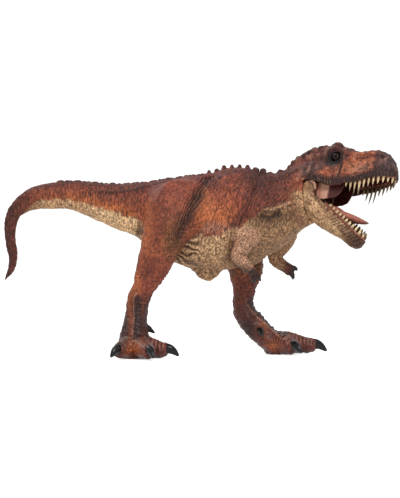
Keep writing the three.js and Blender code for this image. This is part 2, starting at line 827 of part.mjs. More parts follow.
// The room of the mouth in the skull: behind the teeth, inside the teeth, over the tongue and
// between the cheeks.
function mouthRoom() {
  const depth = cutOverrun;
  const cheeks = prism(skullOutline(1.6 * mouthStart, cheekWall), -depth, palateRise);
  return joined([
    prism(skullOutline(toothRowStart, lipWall), -depth, palateRise),
    cheeks.intersect(centredBox(0, toothRowStart + cheekWall, cutOverrun, -depth, depth)),
    centredBox(mouthStart, toothRowStart, cheekHalf, -depth, palateRise),
    centredBox(toothRowStart, vaultEnd, vaultWidth / 2, -depth, vaultRise),
  ]);
}

// The lining of the palate, the throat and the two cheek skins.
function mouthLining() {
  const top = palateRise - seamGap;
  const low = top - liningWall;
  const rear = mouthStart + seamGap;
  const stripRoom = lipWall + stripThickness + 2 * seamGap;
  const cheeks = prism(skullOutline(1.7 * mouthStart, cheekWall + seamGap), low, top);
  const vaultHalf = vaultWidth / 2 - seamGap;
  const plates = joined([
    prism(skullOutline(toothRowStart - cheekWall, stripRoom), low, top),
    cheeks.intersect(centredBox(0, toothRowStart - seamGap, cutOverrun, 0, cutOverrun)),
    centredBox(rear, toothRowStart, cheekHalf - seamGap, low, top),
    centredBox(rear, rear + liningWall, bossReach - seamGap, -lobeRadius, top),
    centredBox(toothRowStart + seamGap, vaultEnd - seamGap, vaultHalf, low, vaultRise - seamGap),
    ...[-1, 1].map(cheekSkin),
  ]);
  const vaultInside = centredBox(
    toothRowStart + seamGap + liningWall,
    vaultEnd - seamGap - liningWall,
    vaultHalf - liningWall,
    -cutOverrun,
    vaultRise - seamGap - liningWall,
  );
  return plates.subtract(vaultInside);
}

// A cheek skin: a thin web from the corner of the lips down to the jaw.
function cheekSkin(hand) {
  const outline = [
    new THREE.Vector2(mouthStart + seamGap, palateRise - seamGap),
    new THREE.Vector2(mouthStart + seamGap, -0.5 * cheekSkinDrop),
    new THREE.Vector2(1.5 * cheekSkinDrop, -cheekSkinDrop),
    new THREE.Vector2(1.62 * cheekSkinDrop, palateRise - seamGap),
  ];
  const geometry = new THREE.ExtrudeGeometry(new THREE.Shape(outline), {
    depth: cheekSkinWall,
    bevelEnabled: false,
  });
  geometry.rotateX(Math.PI / 2);
  const outerFace = bossReach - seamGap;
  geometry.translate(0, hand > 0 ? outerFace : -outerFace + cheekSkinWall, 0);
  return solidOf(geometry);
}

// Head: neck, throat and skull in one moulding
function head() {
  const neckStart = rowPast(neckSeamAt, seamGap / 2);
  const neckForm = bodyPiece(neckStart, bodyLine.last);
  const plugStart = rowPast(neckSeamAt, -neckPlugLength);
  const plugEnd = rowPast(neckSeamAt, neckPlugLength);
  const plug = bodyPiece(plugStart, plugEnd, shellWall + pegFit);
  const neck = moved(neckForm.add(plug), intoHead).subtract(jawRoom);
  const skull = sectionLoft(skullRun, skullSectionShares, {});
  const boss = rod(axisPoint(-bossReach), axisPoint(bossReach), lobeRadius);
  const bossWeb = boxBetween(
    vector(-lobeRadius, -bossReach, 0),
    vector(lobeRadius, bossReach, 2 * lobeRadius),
  );
  const bossBack = boxBetween(
    vector(-2 * lobeRadius, -bossReach, -lobeRadius),
    vector(0, bossReach, 2 * lobeRadius),
  );
  const lobeRooms = [-1, 1].map((hand) =>
    rod(axisPoint(hand * bossReach), axisPoint(hand * skullWidth), lobeRadius + seamGap, 28),
  );
  const form = joined([neck, skull, boss, bossWeb, bossBack, brow(-1), brow(1)]);
  const cuts = [pinBore, ...lobeRooms, mouthRoom(), eye(-1, seamGap), eye(1, seamGap)];
  return cuts.reduce((solid, cut) => solid.subtract(cut), form);
}

// Upper teeth lengths from the middle of the snout to the corner of the mouth.
const upperToothShares = [0.36, 0.34, 0.38, 0.44, 0.52, 0.6, 0.62, 0.64, 1, 1, 0.76, 0.46];
const lowerToothShares = [0.8, 1, 1, 0.9, 0.9, 0.85, 0.8, 0.75, 0.7, 0.65, 0.6, 0.5, 0.45];
const shareFrom = (shares, position) =>
  shares[Math.min(shares.length - 1, Math.floor(position * shares.length))];

// Lower jaw, in its own frame with the mouth closed
const lowerRowStart = 0.29 * jawReach;
const ledgeDrop = stripHeight * 0.6;

function lowerJaw() {
  const form = sectionLoft(jawRun, jawSectionShares, {});
  const lobes = [-1, 1].map((hand) =>
    rod(axisPoint(hand * lobeInside), axisPoint(hand * 0.49 * jawWidth), lobeRadius, 28),
  );
  const troughStart = rowAt(jawRun, 1.7 * lobeRadius);
  const troughEnd = rowAt(jawRun, jawReach - 1.4 * jawWall);
  const trough = troughRoom(troughStart, troughEnd, 0);
  const betweenLobes = boxBetween(
    vector(-cutOverrun, -lobeInside, -cutOverrun),
    vector(1.75 * lobeRadius, lobeInside, cutOverrun),
  );
  const ledge = prism(
    outlineOf(jawRun, lowerRowStart, lipWall),
    -jawRimDrop - ledgeDrop,
    -jawRimDrop + cutOverrun,
  );
  const behindSeam = moved(
    boxBetween(
      vector(seamPlane - cutOverrun, -cutOverrun, -2 * cutOverrun),
      vector(seamPlane + seamGap, cutOverrun, cutOverrun),
    ),
    jawClosedTurn,
  );
  const cuts = [trough, betweenLobes, ledge, behindSeam, pinBore];
  return cuts.reduce((solid, cut) => solid.subtract(cut), joined([form, ...lobes]));
}

// The room between the jaw's walls, above its floor, drawn in by an inset. Its section rises past
// the rim, so its rounded corners are low in the table: across, up.
const troughSectionShares = [
  [0, 0],
  [0.75, 0.015],
  [0.95, 0.06],
  [1, 0.15],
  [1, 1],
  [0.5, 1],
  [0, 1],
];

function troughRoom(from, to, inset) {
  return sectionLoft(jawRun, troughSectionShares, {
    from,
    to,
    widen: -jawWall - inset,
    raise: jawFloor + inset,
    lift: cutOverrun,
  });
}

// Tongue rows in the jaw's frame: along the tongue, height, half height, half width.
const tongueShares = [
  [0, -1.2, 0.5, 0.4],
  [0.2, -0.3, 0.58, 0.5],
  [0.42, 0.05, 0.42, 0.5],
  [0.6, 0.38, 0.36, 0.45],
  [0.78, 0.72, 0.28, 0.36],
  [0.92, 1, 0.17, 0.25],
  [1, 1.16, 0.05, 0.08],
];
const tongueRoot = 0.235 * jawReach;

function tongue() {
  const run = smoothRun(
    tongueShares.map(([along, rise]) => vector(tongueRoot + along * tongueLength, 0, rise * tongueHeight)),
    tongueShares.map(([, , height, width]) => vector(width * tongueWidth, height * tongueHeight, 0)),
  );
  const room = troughRoom(rowAt(jawRun, tongueRoot - seamGap), rowAt(jawRun, 0.93 * jawReach), seamGap);
  return ovalLoft(run, { corners: 14 }).intersect(room);
}

// Materials
const finish = (color, roughness, metalness = 0) =>
  new THREE.MeshStandardMaterial({ color, roughness, metalness });
const rustSkin = finish(0x964b2d, 0.7);
const creamSkin = finish(0xaf9673, 0.7);
const darkMouth = finish(0x4a2420, 0.45);
const toothCream = finish(0xe6cda5, 0.35);
const tonguePink = finish(0xbe785f, 0.35);
const eyeGlass = finish(0x2a1a12, 0.08);
const steel = finish(0xb9bcc0, 0.3, 1);

const meshOf = (name, solid, material) => {
  const geometry = geometryOf(solid);
  geometry.computeVertexNormals();
  const mesh = new THREE.Mesh(geometry, material);
  mesh.name = name;
  return mesh;
};

// Figure
const torsoSkin = torsoForm(seamGap);
const onTorso = (alongShare, riseShare, widthShare, hand) =>
  torsoPlace(alongShare, riseShare).add(vector(0, hand * widthShare * torsoWidth, 0));
const rightHip = onTorso(hipAlongShare, 0, 0.4, -1);
const leftHip = onTorso(0.44, -0.04, 0.4, 1);
const rightShoulder = onTorso(0.757, -0.3, 0.4, -1);
const leftShoulder = onTorso(1.02, -0.25, 0.3, 1);
const leftShoulderPeg = onTorso(0.88, -0.25, 0.34, 1);
const hipPeg = (place, fit) => peg(place, hipPegRadius, hipPegReach, fit, 6);
const shoulderPeg = (place, fit) => peg(place, shoulderPegRadius, shoulderPegReach, fit, 8);

function torso() {
  const hollow = bodyPiece(
    rowPast(tailSeamAt, -cutOverrun),
    rowPast(neckSeamAt, cutOverrun / 3),
    shellWall,
  );
  const sockets = [
    hipPeg(rightHip, pegFit),
    hipPeg(leftHip, pegFit),
    shoulderPeg(rightShoulder, pegFit),
    shoulderPeg(leftShoulderPeg, pegFit),
  ];
  const shell = torsoForm(0).add(backKnobs()).subtract(hollow);
  return sockets.reduce((solid, socket) => solid.subtract(socket), shell);
}

function tail() {
  const seam = rowPast(tailSeamAt, -seamGap / 2);
  const plugStart = rowPast(tailSeamAt, -tailPlugLength);
  const plugEnd = rowPast(tailSeamAt, tailPlugLength);
  const plug = bodyPiece(plugStart, plugEnd, shellWall + pegFit);
  return bodyPiece(0, seam).add(plug);
}

const neckSkin = bodyPiece(rowPast(neckSeamAt, -seamGap), bodyLine.last, -seamGap);
const limb = (form, pegSolid) => form.subtract(torsoSkin).subtract(neckSkin).add(pegSolid);

const figure = new THREE.Group();
const headGroup = new THREE.Group();
headGroup.setRotationFromEuler(headTurn);
headGroup.position.copy(hinge);
const jawGroup = new THREE.Group();
jawGroup.rotation.y = degrees(mouthOpenAngle);
headGroup.add(jawGroup);
figure.add(headGroup);

figure.add(meshOf("torso", torso(), rustSkin));
figure.add(meshOf("tail", tail(), rustSkin));
const rightLeg = leg(rightLegShares, -1, rightFootHeading);
const leftLeg = leg(leftLegShares, 1, leftFootHeading);
figure.add(meshOf("right_leg", limb(rightLeg, hipPeg(rightHip, 0)), rustSkin));
figure.add(meshOf("left_leg", limb(leftLeg, hipPeg(leftHip, 0)), rustSkin));
const rightArm = arm(rightShoulder, rightShoulder, rightArmShares, rightFingerShares, -1);
const leftArm = arm(leftShoulder, leftShoulderPeg, leftArmShares, leftFingerShares, 1);
figure.add(meshOf("right_arm", limb(rightArm, shoulderPeg(rightShoulder, 0)), creamSkin));
figure.add(meshOf("left_arm", limb(leftArm, shoulderPeg(leftShoulderPeg, 0)), creamSkin));

headGroup.add(meshOf("head", head(), rustSkin));
headGroup.add(meshOf("right_eye", eye(-1), eyeGlass));
headGroup.add(meshOf("left_eye", eye(1), eyeGlass));
headGroup.add(meshOf("mouth_lining", mouthLining(), darkMouth));
headGroup.add(
  meshOf(
    "upper_teeth",
    toothRow(
      skullRun,
      toothRowStart,
      lipWall + seamGap,
      upperStripRise,
      (position) => upperToothLength * shareFrom(upperToothShares, position),
      -1,
    ),
    toothCream,
  ),
);
headGroup.add(meshOf("jaw_pin", rod(axisPoint(-pinLength / 2), axisPoint(pinLength / 2), pinRadius), steel));

jawGroup.add(meshOf("lower_jaw", lowerJaw(), creamSkin));
jawGroup.add(
  meshOf(
    "lower_teeth",
    toothRow(
      jawRun,
      lowerRowStart,
      lipWall + seamGap,
      -jawRimDrop - ledgeDrop + seamGap,
      (position) => lowerToothLength * shareFrom(lowerToothShares, position),
      1,
    ),
    toothCream,
  ),
);
jawGroup.add(meshOf("tongue", tongue(), tonguePink));

// The origin is put under the middle of the figure, on the ground.
figure.updateMatrixWorld(true);
const bounds = new THREE.Box3().setFromObject(figure, true);
const middle = bounds.getCenter(vector(0, 0, 0));
const group = new THREE.Group();
figure.position.set(-middle.x, -middle.y, 0);
group.add(figure);

export default group;
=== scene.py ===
"""Looks of the toy dinosaur figure: a sculpted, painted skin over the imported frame.

The nodes that are one moulded skin on the real toy (trunk, tail, neck, skull, legs and arms) are
copied, remeshed as one surface, sculpted and painted point by point, and cut into one piece per
node again, so that paint and wrinkles run over the seams. Sculpting works in millimetres.
"""

import json
import math

import bmesh
import bpy
import numpy as np
from mathutils import Matrix, Vector
from mathutils.bvhtree import BVHTree
from mathutils.kdtree import KDTree


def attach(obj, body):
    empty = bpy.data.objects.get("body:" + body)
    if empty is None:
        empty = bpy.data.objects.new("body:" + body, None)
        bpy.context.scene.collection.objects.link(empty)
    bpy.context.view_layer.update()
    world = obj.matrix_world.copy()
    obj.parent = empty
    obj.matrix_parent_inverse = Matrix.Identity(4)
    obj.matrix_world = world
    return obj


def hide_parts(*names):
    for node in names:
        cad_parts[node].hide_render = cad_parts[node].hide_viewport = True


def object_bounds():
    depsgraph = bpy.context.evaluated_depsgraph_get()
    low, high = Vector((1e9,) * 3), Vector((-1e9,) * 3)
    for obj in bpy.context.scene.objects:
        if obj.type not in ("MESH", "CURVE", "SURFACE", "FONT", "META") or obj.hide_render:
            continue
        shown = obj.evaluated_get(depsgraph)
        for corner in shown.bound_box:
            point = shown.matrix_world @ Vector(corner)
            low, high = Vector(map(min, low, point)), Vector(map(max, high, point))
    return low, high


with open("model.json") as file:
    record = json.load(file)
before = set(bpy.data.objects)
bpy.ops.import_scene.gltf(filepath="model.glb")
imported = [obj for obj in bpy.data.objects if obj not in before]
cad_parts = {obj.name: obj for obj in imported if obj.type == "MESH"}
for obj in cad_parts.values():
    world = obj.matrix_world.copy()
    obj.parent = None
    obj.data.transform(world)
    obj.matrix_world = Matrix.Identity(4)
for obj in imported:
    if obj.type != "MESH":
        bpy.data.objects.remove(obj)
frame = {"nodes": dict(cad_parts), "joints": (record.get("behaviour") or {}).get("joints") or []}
cad_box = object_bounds()
nodes = frame["nodes"]
MM = 0.001

# The photograph: 400 by 498 pixels, taken from the figure's right side and slightly above.
PICTURE = (400, 498)
PIXEL = 0.72  # mm at the figure
MIDDLE_U = 200.4  # column of x = 0
GROUND_V = 356.6  # row of z = 0
VIEW_RISE = math.radians(2.5)
CAMERA_DISTANCE = 6.0  # metres; a long lens

# Remeshing.
VOXELS = {"skin": (0.55, 0.9), "jaw": (0.4, 0.6), "tongue": (0.32, 0.5), "mouth": (0.4, 0.6)}
SEAM_FILL = 0.26  # mm; every skin node grows by this before the remesh, so that seams close
JAW_ROOM = (66, 71)  # mm along X over which that growth ends, so that the jaw keeps its room
WELD = 0.005  # mm; points nearer to each other become one
SKIN_NODES = ("torso", "tail", "right_leg", "left_leg", "right_arm", "left_arm", "head")

# Head frame: origin on the jaw hinge, +X to the snout, +Y to the head's left, +Z up
HEAD_YAW, HEAD_PITCH, HEAD_ROLL = 32, 8, 20
MOUTH_OPEN = 45
hinge_place = np.array(frame["joints"][0]["pos_m"]) / MM
head_turn = (
    Matrix.Rotation(math.radians(-HEAD_YAW), 3, "Z")
    @ Matrix.Rotation(math.radians(-HEAD_PITCH), 3, "Y")
    @ Matrix.Rotation(math.radians(-HEAD_ROLL), 3, "X")
)
jaw_turn = head_turn @ Matrix.Rotation(math.radians(MOUTH_OPEN), 3, "Y")


def voxel(kind):
    return VOXELS[kind][0]


def rounds(kind, count):
    """Smoothing rounds: fewer on a coarser surface, so that the same width is smoothed."""
    return int(count * (VOXELS[kind][0] / voxel(kind)) ** 2)


def into(turn, points):
    """Points in the head's or the jaw's own frame."""
    return (points - hinge_place) @ np.array(turn)


def out_of(turn, points):
    return np.asarray(points) @ np.array(turn).T + hinge_place


# Colours, as written in a paint chart (sRGB, 0 to 255)
def srgb(red, green, blue):
    """A linear colour from a paint-chart one."""
    shares = np.array([red, green, blue]) / 255
    return np.where(shares > 0.04045, ((shares + 0.055) / 1.055) ** 2.4, shares / 12.92)


RUST = srgb(146, 76, 52)
DEEP_RUST = srgb(126, 60, 44)
MAROON = srgb(92, 42, 36)
ORANGE = srgb(190, 108, 64)
TAN = srgb(172, 132, 96)
CREAM = srgb(224, 180, 136)
OLIVE = srgb(98, 60, 34)
PLUM = srgb(132, 82, 66)
DARK = srgb(44, 24, 22)
BLACKISH = srgb(18, 13, 13)
GREY_BROWN = srgb(80, 50, 48)
PINK = srgb(214, 158, 132)
ROSE = srgb(168, 92, 76)
THROAT = srgb(60, 26, 24)
BONE = srgb(222, 194, 148)
BROWN = srgb(104, 68, 44)
DUSTY_PINK = srgb(176, 136, 116)
ARM_TAN = srgb(188, 144, 116)
SNOUT_GREY = srgb(62, 46, 48)
CHEEK_RED = srgb(74, 32, 28)
FLESH = srgb(178, 112, 94)
EYE_RING = srgb(46, 24, 14)
FLECK = srgb(124, 92, 74)
DIM_STEEL = srgb(176, 178, 182)
BRIGHT_STEEL = srgb(206, 208, 210)
DRY_BRUSH = np.array([0.03, 0.02, 0.012])  # linear, added to the paint on ridges
FINE_HOLLOW, BROAD_HOLLOW = 0.0405, 0.4  # mm deep, where the dark wash is strong


# Small sums on arrays
def ramp(values, start, end):
    """0 before start, 1 after end, smooth between."""
    share = np.clip((values - start) / (end - start), 0, 1)
    return share * share * (3 - 2 * share)


def fall(values, start, end):
    """1 before start, 0 after end."""
    return 1 - ramp(values, start, end)


def bell(values, middle, width):
    """1 at the middle, falling off over a width on both sides."""
    return np.exp(-(((values - middle) / width) ** 2))


def waves(values, step, phase=0):
    """From 1 to 0 and back over each step."""
    return 0.5 + 0.5 * np.cos(2 * math.pi * values / step + phase)


def read_off(rows, values):
    """Height at values of a line through rows of place and height."""
    return np.interp(values, *np.transpose(rows))


def distances(places, centre):
    return np.linalg.norm(places - np.array(centre), axis=1)


def blob(places, centre, radii):
    """1 at the middle of an oval, 0 outside it."""
    offset = (places - np.array(centre)) / np.array(radii)
    return np.exp(-((offset**2).sum(1) ** 1.5))


def lattice(cell, seed):
    """A value from -1 to 1 for each cell, always the same one for the same seed."""
    mixed = (cell[:, 0] * 73856093) ^ (cell[:, 1] * 19349663) ^ (cell[:, 2] * 83492791) ^ (seed * 40503)
    mixed &= 0xFFFFFFFF
    mixed = ((mixed ^ (mixed >> 13)) * 1274126177) & 0xFFFFFFFF
    return ((mixed ^ (mixed >> 16)) & 0xFFFF) / 32767.5 - 1


def noise(points, size, seed):
    """Smooth noise from -1 to 1, with lumps of a size in mm, along each axis if it has three."""
    scaled = points / np.array(size) + 31.7 * seed
    cell = np.floor(scaled).astype(np.int64)
    part = scaled - cell
    part = part * part * part * (part * (part * 6 - 15) + 10)
    total = 0
    for corner in range(8):
        step = np.array([corner & 1, corner >> 1 & 1, corner >> 2 & 1])
        weight = np.prod(np.where(step, part, 1 - part), axis=1)
        total = total + weight * lattice(cell + step, seed)
    return total


def wrinkles(points, size, seed):
    """Thin grooves between broad folds: 0 on a fold, 1 in a groove."""
    return np.clip(1 - 3.2 * np.abs(noise(points, size, seed)), 0, 1)


def along_line(places, line):
    """For each place, its distance from a line of points, how far along that line it is, and the
    side that it is on (positive to the right of the line in a picture whose rows run down)."""
    line = np.array(line, float)
    best = np.full(len(places), 1e18)
    along = np.zeros(len(places))
    side = np.zeros(len(places))
    passed = 0.0
    for start, end in zip(line, line[1:]):
        run = end - start
        length = math.hypot(*run)
        offset = places - start
        share = np.clip(offset @ run / length**2, 0, 1)
        gap = offset - share[:, None] * run
        distance = (gap**2).sum(1)
        nearer = distance < best
        best = np.where(nearer, distance, best)
        along = np.where(nearer, passed + share * length, along)
        side = np.where(nearer, np.sign(run[0] * offset[:, 1] - run[1] * offset[:, 0]), side)
        passed += length
    return np.sqrt(best), along, side


def stroke(places, line, width):
    """1 on a line, falling off over a width."""
    return bell(along_line(places, line)[0], 0, width)


# Meshes as arrays
def welded(name, grow=0.0):
    """Points in mm and faces of a CAD node's copy, grown along its normals up to the jaw's room."""
    mesh = bmesh.new()
    mesh.from_mesh(nodes[name].data)
    bmesh.ops.remove_doubles(mesh, verts=mesh.verts, dist=WELD * MM)
    mesh.normal_update()
    points = np.array([corner.co for corner in mesh.verts]) / MM
    normals = np.array([corner.normal for corner in mesh.verts])
    faces = [[corner.index for corner in face.verts] for face in mesh.faces]
    mesh.free()
    return points + normals * (grow * fall(points[:, 0], *JAW_ROOM))[:, None], faces


def combined(parts):
    points, faces, first = [], [], 0
    for some_points, some_faces in parts:
        points.append(some_points)
        faces += [[corner + first for corner in face] for face in some_faces]
        first += len(some_points)
    return np.concatenate(points), faces


def loft(rings):
    """Points and faces of a closed solid through rings of as many corners each."""
    count = len(rings[0])
    last = (len(rings) - 1) * count
    faces = []
    for first in range(0, last, count):
        for k in range(count):
            after = (k + 1) % count
            faces.append([first + k, first + after, first + count + after, first + count + k])
    faces.append([last + k for k in range(count)])
    faces.append(list(reversed(range(count))))
    return np.concatenate(rings), faces


def remeshed(parts, kind):
    """One closed surface of four-cornered faces round all parts, without any inner shells."""
    points, faces = combined(parts)
    mesh = bpy.data.meshes.new("rough")
    mesh.from_pydata(points.tolist(), [], faces)
    holder = bpy.data.objects.new("rough", mesh)
    bpy.context.scene.collection.objects.link(holder)
    modifier = holder.modifiers.new("remesh", "REMESH")
    modifier.mode = "VOXEL"
    modifier.voxel_size = voxel(kind)
    modifier.adaptivity = 0
    graph = bpy.context.evaluated_depsgraph_get()
    made = bpy.data.meshes.new_from_object(holder.evaluated_get(graph))
    places = np.zeros(len(made.vertices) * 3)
    made.vertices.foreach_get("co", places)
    corners = np.zeros(len(made.loops), np.int64)
    made.loops.foreach_get("vertex_index", corners)
    bpy.data.objects.remove(holder)
    bpy.data.meshes.remove(mesh)
    surface = Surface(places.reshape(-1, 3), corners.reshape(-1, 4))
    bpy.data.meshes.remove(made)
    return surface.largest_part()


def new_piece(name, points, faces, material, paint, values=None, normals=None):
    """A Blender object from points in mm, with its paint and other values at each point."""
    mesh = bpy.data.meshes.new(name)
    mesh.from_pydata((points * MM).tolist(), [], faces)
    colours = np.concatenate([np.clip(paint, 0, 1), np.ones((len(points), 1))], axis=1)
    mesh.attributes.new("paint", "FLOAT_COLOR", "POINT").data.foreach_set("color", colours.ravel())
    for key, numbers in (values or {}).items():
        mesh.attributes.new(key, "FLOAT", "POINT").data.foreach_set("value", numbers)
    mesh.materials.append(material)
    mesh.shade_smooth()
    if normals is not None:
        mesh.normals_split_custom_set_from_vertices(normals.tolist())
    mesh.update()
    piece = bpy.data.objects.new(name, mesh)
    bpy.context.scene.collection.objects.link(piece)
    return piece


class Surface:
    """A surface of four-cornered faces, with paint."""

    def __init__(self, points, faces):
        self.points = points
        self.faces = faces
        pairs = np.concatenate([faces[:, [0, 1]], faces[:, [1, 2]], faces[:, [2, 3]], faces[:, [3, 0]]])
        pairs.sort(axis=1)
        keys = np.unique(pairs[:, 0] * len(points) + pairs[:, 1])
        self.left, self.right = keys // len(points), keys % len(points)
        count = len(points)
        self.degree = np.bincount(self.left, minlength=count) + np.bincount(self.right, minlength=count)
        self.paint = np.tile(RUST, (count, 1))
        self.speckle = np.zeros(count)
        self.gloss = np.zeros(count)
        self.streak = np.zeros(count)

    def largest_part(self):
        """The surface without what doesn't hang together with its largest part."""
        label = np.arange(len(self.points))
        while True:
            lower = np.minimum(label[self.left], label[self.right])
            before = label.copy()
            np.minimum.at(label, self.left, lower)
            np.minimum.at(label, self.right, lower)
            label = label[label]
            if (label == before).all():
                break
        names, sizes = np.unique(label, return_counts=True)
        kept = label == names[sizes.argmax()]
        renumber = np.cumsum(kept) - 1
        return Surface(self.points[kept], renumber[self.faces[kept[self.faces[:, 0]]]])

    def neighbours_mean(self, values):
        """Mean of a value, or of points, over each point's neighbours."""
        columns = values.reshape(len(values), -1)
        result = np.empty_like(columns, dtype=float)
        for k in range(columns.shape[1]):
            column = columns[:, k]
            total = np.bincount(self.left, column[self.right], len(columns))
            total += np.bincount(self.right, column[self.left], len(columns))
            result[:, k] = total / np.maximum(self.degree, 1)
        return result.reshape(values.shape)

    def softened(self, values, times):
        for _ in range(times):
            values = (values + self.neighbours_mean(values)) / 2
        return values

    def smooth(self, times, strength):
        """Moves each point towards its neighbours' mean, by a strength of its own."""
        moving = np.nonzero(strength > 0.004)[0]
        number = np.full(len(self.points), -1)
        number[moving] = np.arange(len(moving))
        ends = np.concatenate([self.left, self.right])
        others = np.concatenate([self.right, self.left])
        kept = number[ends] >= 0
        ends, others = number[ends[kept]], others[kept]
        share = (strength[moving] / np.maximum(self.degree[moving], 1))[:, None]
        stay = 1 - strength[moving][:, None]
        for _ in range(times):
            total = [np.bincount(ends, self.points[others, axis], len(moving)) for axis in range(3)]
            self.points[moving] = stay * self.points[moving] + share * np.stack(total, axis=1)

    def normals(self):
        a, b, c, d = (self.points[self.faces[:, k]] for k in range(4))
        face_normals = np.cross(c - a, d - b)
        result = np.empty_like(self.points)
        for axis in range(3):
            total = 0
            for k in range(4):
                total = total + np.bincount(self.faces[:, k], face_normals[:, axis], len(self.points))
            result[:, axis] = total
        return result / np.maximum(np.linalg.norm(result, axis=1), 1e-9)[:, None]

    def push(self, amount):
        """Moves each point along its normal, outwards where the amount is positive."""
        self.points += self.normals() * amount[:, None]

    def hollowness(self, times):
        """How far each point lies below its surroundings, in mm."""
        return ((self.softened(self.points, times) - self.points) * self.normals()).sum(1)

    def lay(self, colour, mask):
        """Paints a colour through a mask."""
        self.paint += (colour - self.paint) * np.clip(mask, 0, 1)[:, None]

    def lay_rows(self, rows):
        """Paints in turn: colour, share, mask."""
        for colour, share, mask in rows:
            self.lay(colour, share * mask)

    def wash(self):
        """Dark paint that has run into the grooves, and a dry brush over the ridges."""
        small = self.hollowness(2) / FINE_HOLLOW
        large = self.hollowness(12) / BROAD_HOLLOW
        deep = np.clip(0.6 * small, 0, 1) * 0.55 + np.clip(0.6 * large, 0, 1) * 0.5
        high = np.clip(-0.6 * small, 0, 1) * 0.6 + np.clip(-0.5 * large, 0, 1) * 0.35
        self.paint *= (1 - 0.8 * np.clip(deep, 0, 1))[:, None]
        light = np.minimum(self.paint * 1.9 + DRY_BRUSH, 1)
        self.lay(light, 0.6 * np.clip(high, 0, 1))

    def object(self, name, faces, material, normals):
        """A Blender object of some of the faces, shaded by the whole surface's normals."""
        used = np.unique(faces)
        renumber = np.full(len(self.points), -1)
        renumber[used] = np.arange(len(used))
        values = {"speckle": self.speckle[used], "gloss": self.gloss[used], "streak": self.streak[used]}
        quads = renumber[faces].tolist()
        return new_piece(name, self.points[used], quads, material, self.paint[used], values, normals[used])

    def whole(self, name, material):
        """A Blender object of the whole surface."""
        return self.object(name, self.faces, material, self.normals())


# Materials
def fill(made, **inputs):
    """Sets a node's inputs; a value that is a socket gets linked. An underscore stands for a space,
    and i2 for the input of that number."""
    for key, value in inputs.items():
        socket = made.inputs[int(key[1:]) if key[1:].isdigit() else key.replace("_", " ")]
        if isinstance(value, bpy.types.NodeSocket):
            made.id_data.links.new(value, socket)
        else:
            socket.default_value = value


def node(tree, kind, settings=None, **inputs):
    """A shader node with its settings and inputs."""
    made = tree.nodes.new("ShaderNode" + kind)
    for key, value in (settings or {}).items():
        setattr(made, key, value)
    fill(made, **inputs)
    return made


def new_material(name):
    material = bpy.data.materials.new(name)
    material.use_nodes = True
    tree = material.node_tree
    return material, tree, tree.nodes["Principled BSDF"]


def mapped(tree, value, low, high, to_low, to_high):
    """A value's range from low to high, drawn to another one."""
    limits = {"From_Min": low, "From_Max": high, "To_Min": to_low, "To_Max": to_high}
    return node(tree, "MapRange", {"clamp": True}, Value=value, **limits).outputs["Result"]


def tinted(tree, share, first, second, blend="MIX"):
    """Two colours mixed by a share."""
    settings = {"data_type": "RGBA", "blend_type": blend, "clamp_factor": True}
    return node(tree, "Mix", settings, i0=share, i6=first, i7=second).outputs[2]


def rgba(colour):
    return (*[float(part) for part in colour], 1.0)


def attribute(tree, name, output="Fac"):
    return node(tree, "Attribute", {"attribute_name": name}).outputs[output]


def math_of(tree, operation, first, second):
    return node(tree, "Math", {"operation": operation}, i0=first, i1=second).outputs[0]


def lumps(tree, place, size, detail=2.0):
    """A noise texture with lumps of a size in mm."""
    return node(tree, "TexNoise", Vector=place, Scale=1 / (size * MM), Detail=detail).outputs["Fac"]


def painted_material(name, grain_size=1.2, grain_depth=0.1, contrast=(0.5, 1.34), roughness=(0.5, 0.68)):
    """Moulded plastic with brushed paint: the painted colour, dark in the pores of a fine grain and
    light on its ridges, over broad patches. The grain runs upright where the streak is 1, and the
    speckle adds dark flecks. Sizes in mm."""
    material, tree, shader = new_material(name)
    place = node(tree, "TexCoord").outputs["Object"]
    upright = node(tree, "Mapping", Vector=place, Scale=(1.25, 1.0, 0.3)).outputs[0]
    patches = lumps(tree, place, 7, 4.0)
    grain = node(
        tree, "Mix", {"data_type": "FLOAT"}, i0=attribute(tree, "streak"),
        i2=lumps(tree, place, grain_size, 3.0), i3=lumps(tree, upright, 0.9 * grain_size, 3.0),
    ).outputs[0]
    broad_shade = mapped(tree, patches, 0.3, 0.7, 0.78, 1.2)
    shade = math_of(tree, "MULTIPLY", broad_shade, mapped(tree, grain, 0.36, 0.64, *contrast))
    grey = node(tree, "CombineColor", Red=shade, Green=shade, Blue=shade).outputs[0]
    colour = tinted(tree, 1.0, attribute(tree, "paint", "Color"), grey, "MULTIPLY")
    flecks = mapped(tree, lumps(tree, place, 1.5), 0.52, 0.62, 0.0, 0.62)
    flecks = math_of(tree, "MULTIPLY", flecks, attribute(tree, "speckle"))
    colour = tinted(tree, flecks, colour, tinted(tree, 1.0, colour, rgba(FLECK), "MULTIPLY"))
    gloss = mapped(tree, attribute(tree, "gloss"), 0.0, 1.0, 0.0, 0.34)
    rough = math_of(tree, "SUBTRACT", mapped(tree, grain, 0.3, 0.7, *roughness), gloss)
    fine = node(tree, "Bump", Strength=0.9, Distance=grain_depth * MM, Height=grain).outputs["Normal"]
    broad = node(tree, "Bump", Strength=0.4, Distance=0.3 * MM, Height=patches, Normal=fine).outputs["Normal"]
    fill(shader, Base_Color=colour, Roughness=rough, Normal=broad, Specular_IOR_Level=0.26)
    return material


skin_finish = painted_material("painted_skin", grain_depth=0.22, contrast=(0.4, 1.42))
jaw_finish = painted_material("painted_jaw", grain_size=0.9, grain_depth=0.16)
mouth_finish = painted_material("painted_mouth", grain_size=0.8, contrast=(0.7, 1.15), roughness=(0.36, 0.5))
tooth_finish = painted_material("painted_teeth", grain_size=1.6, contrast=(0.8, 1.1), roughness=(0.26, 0.4))


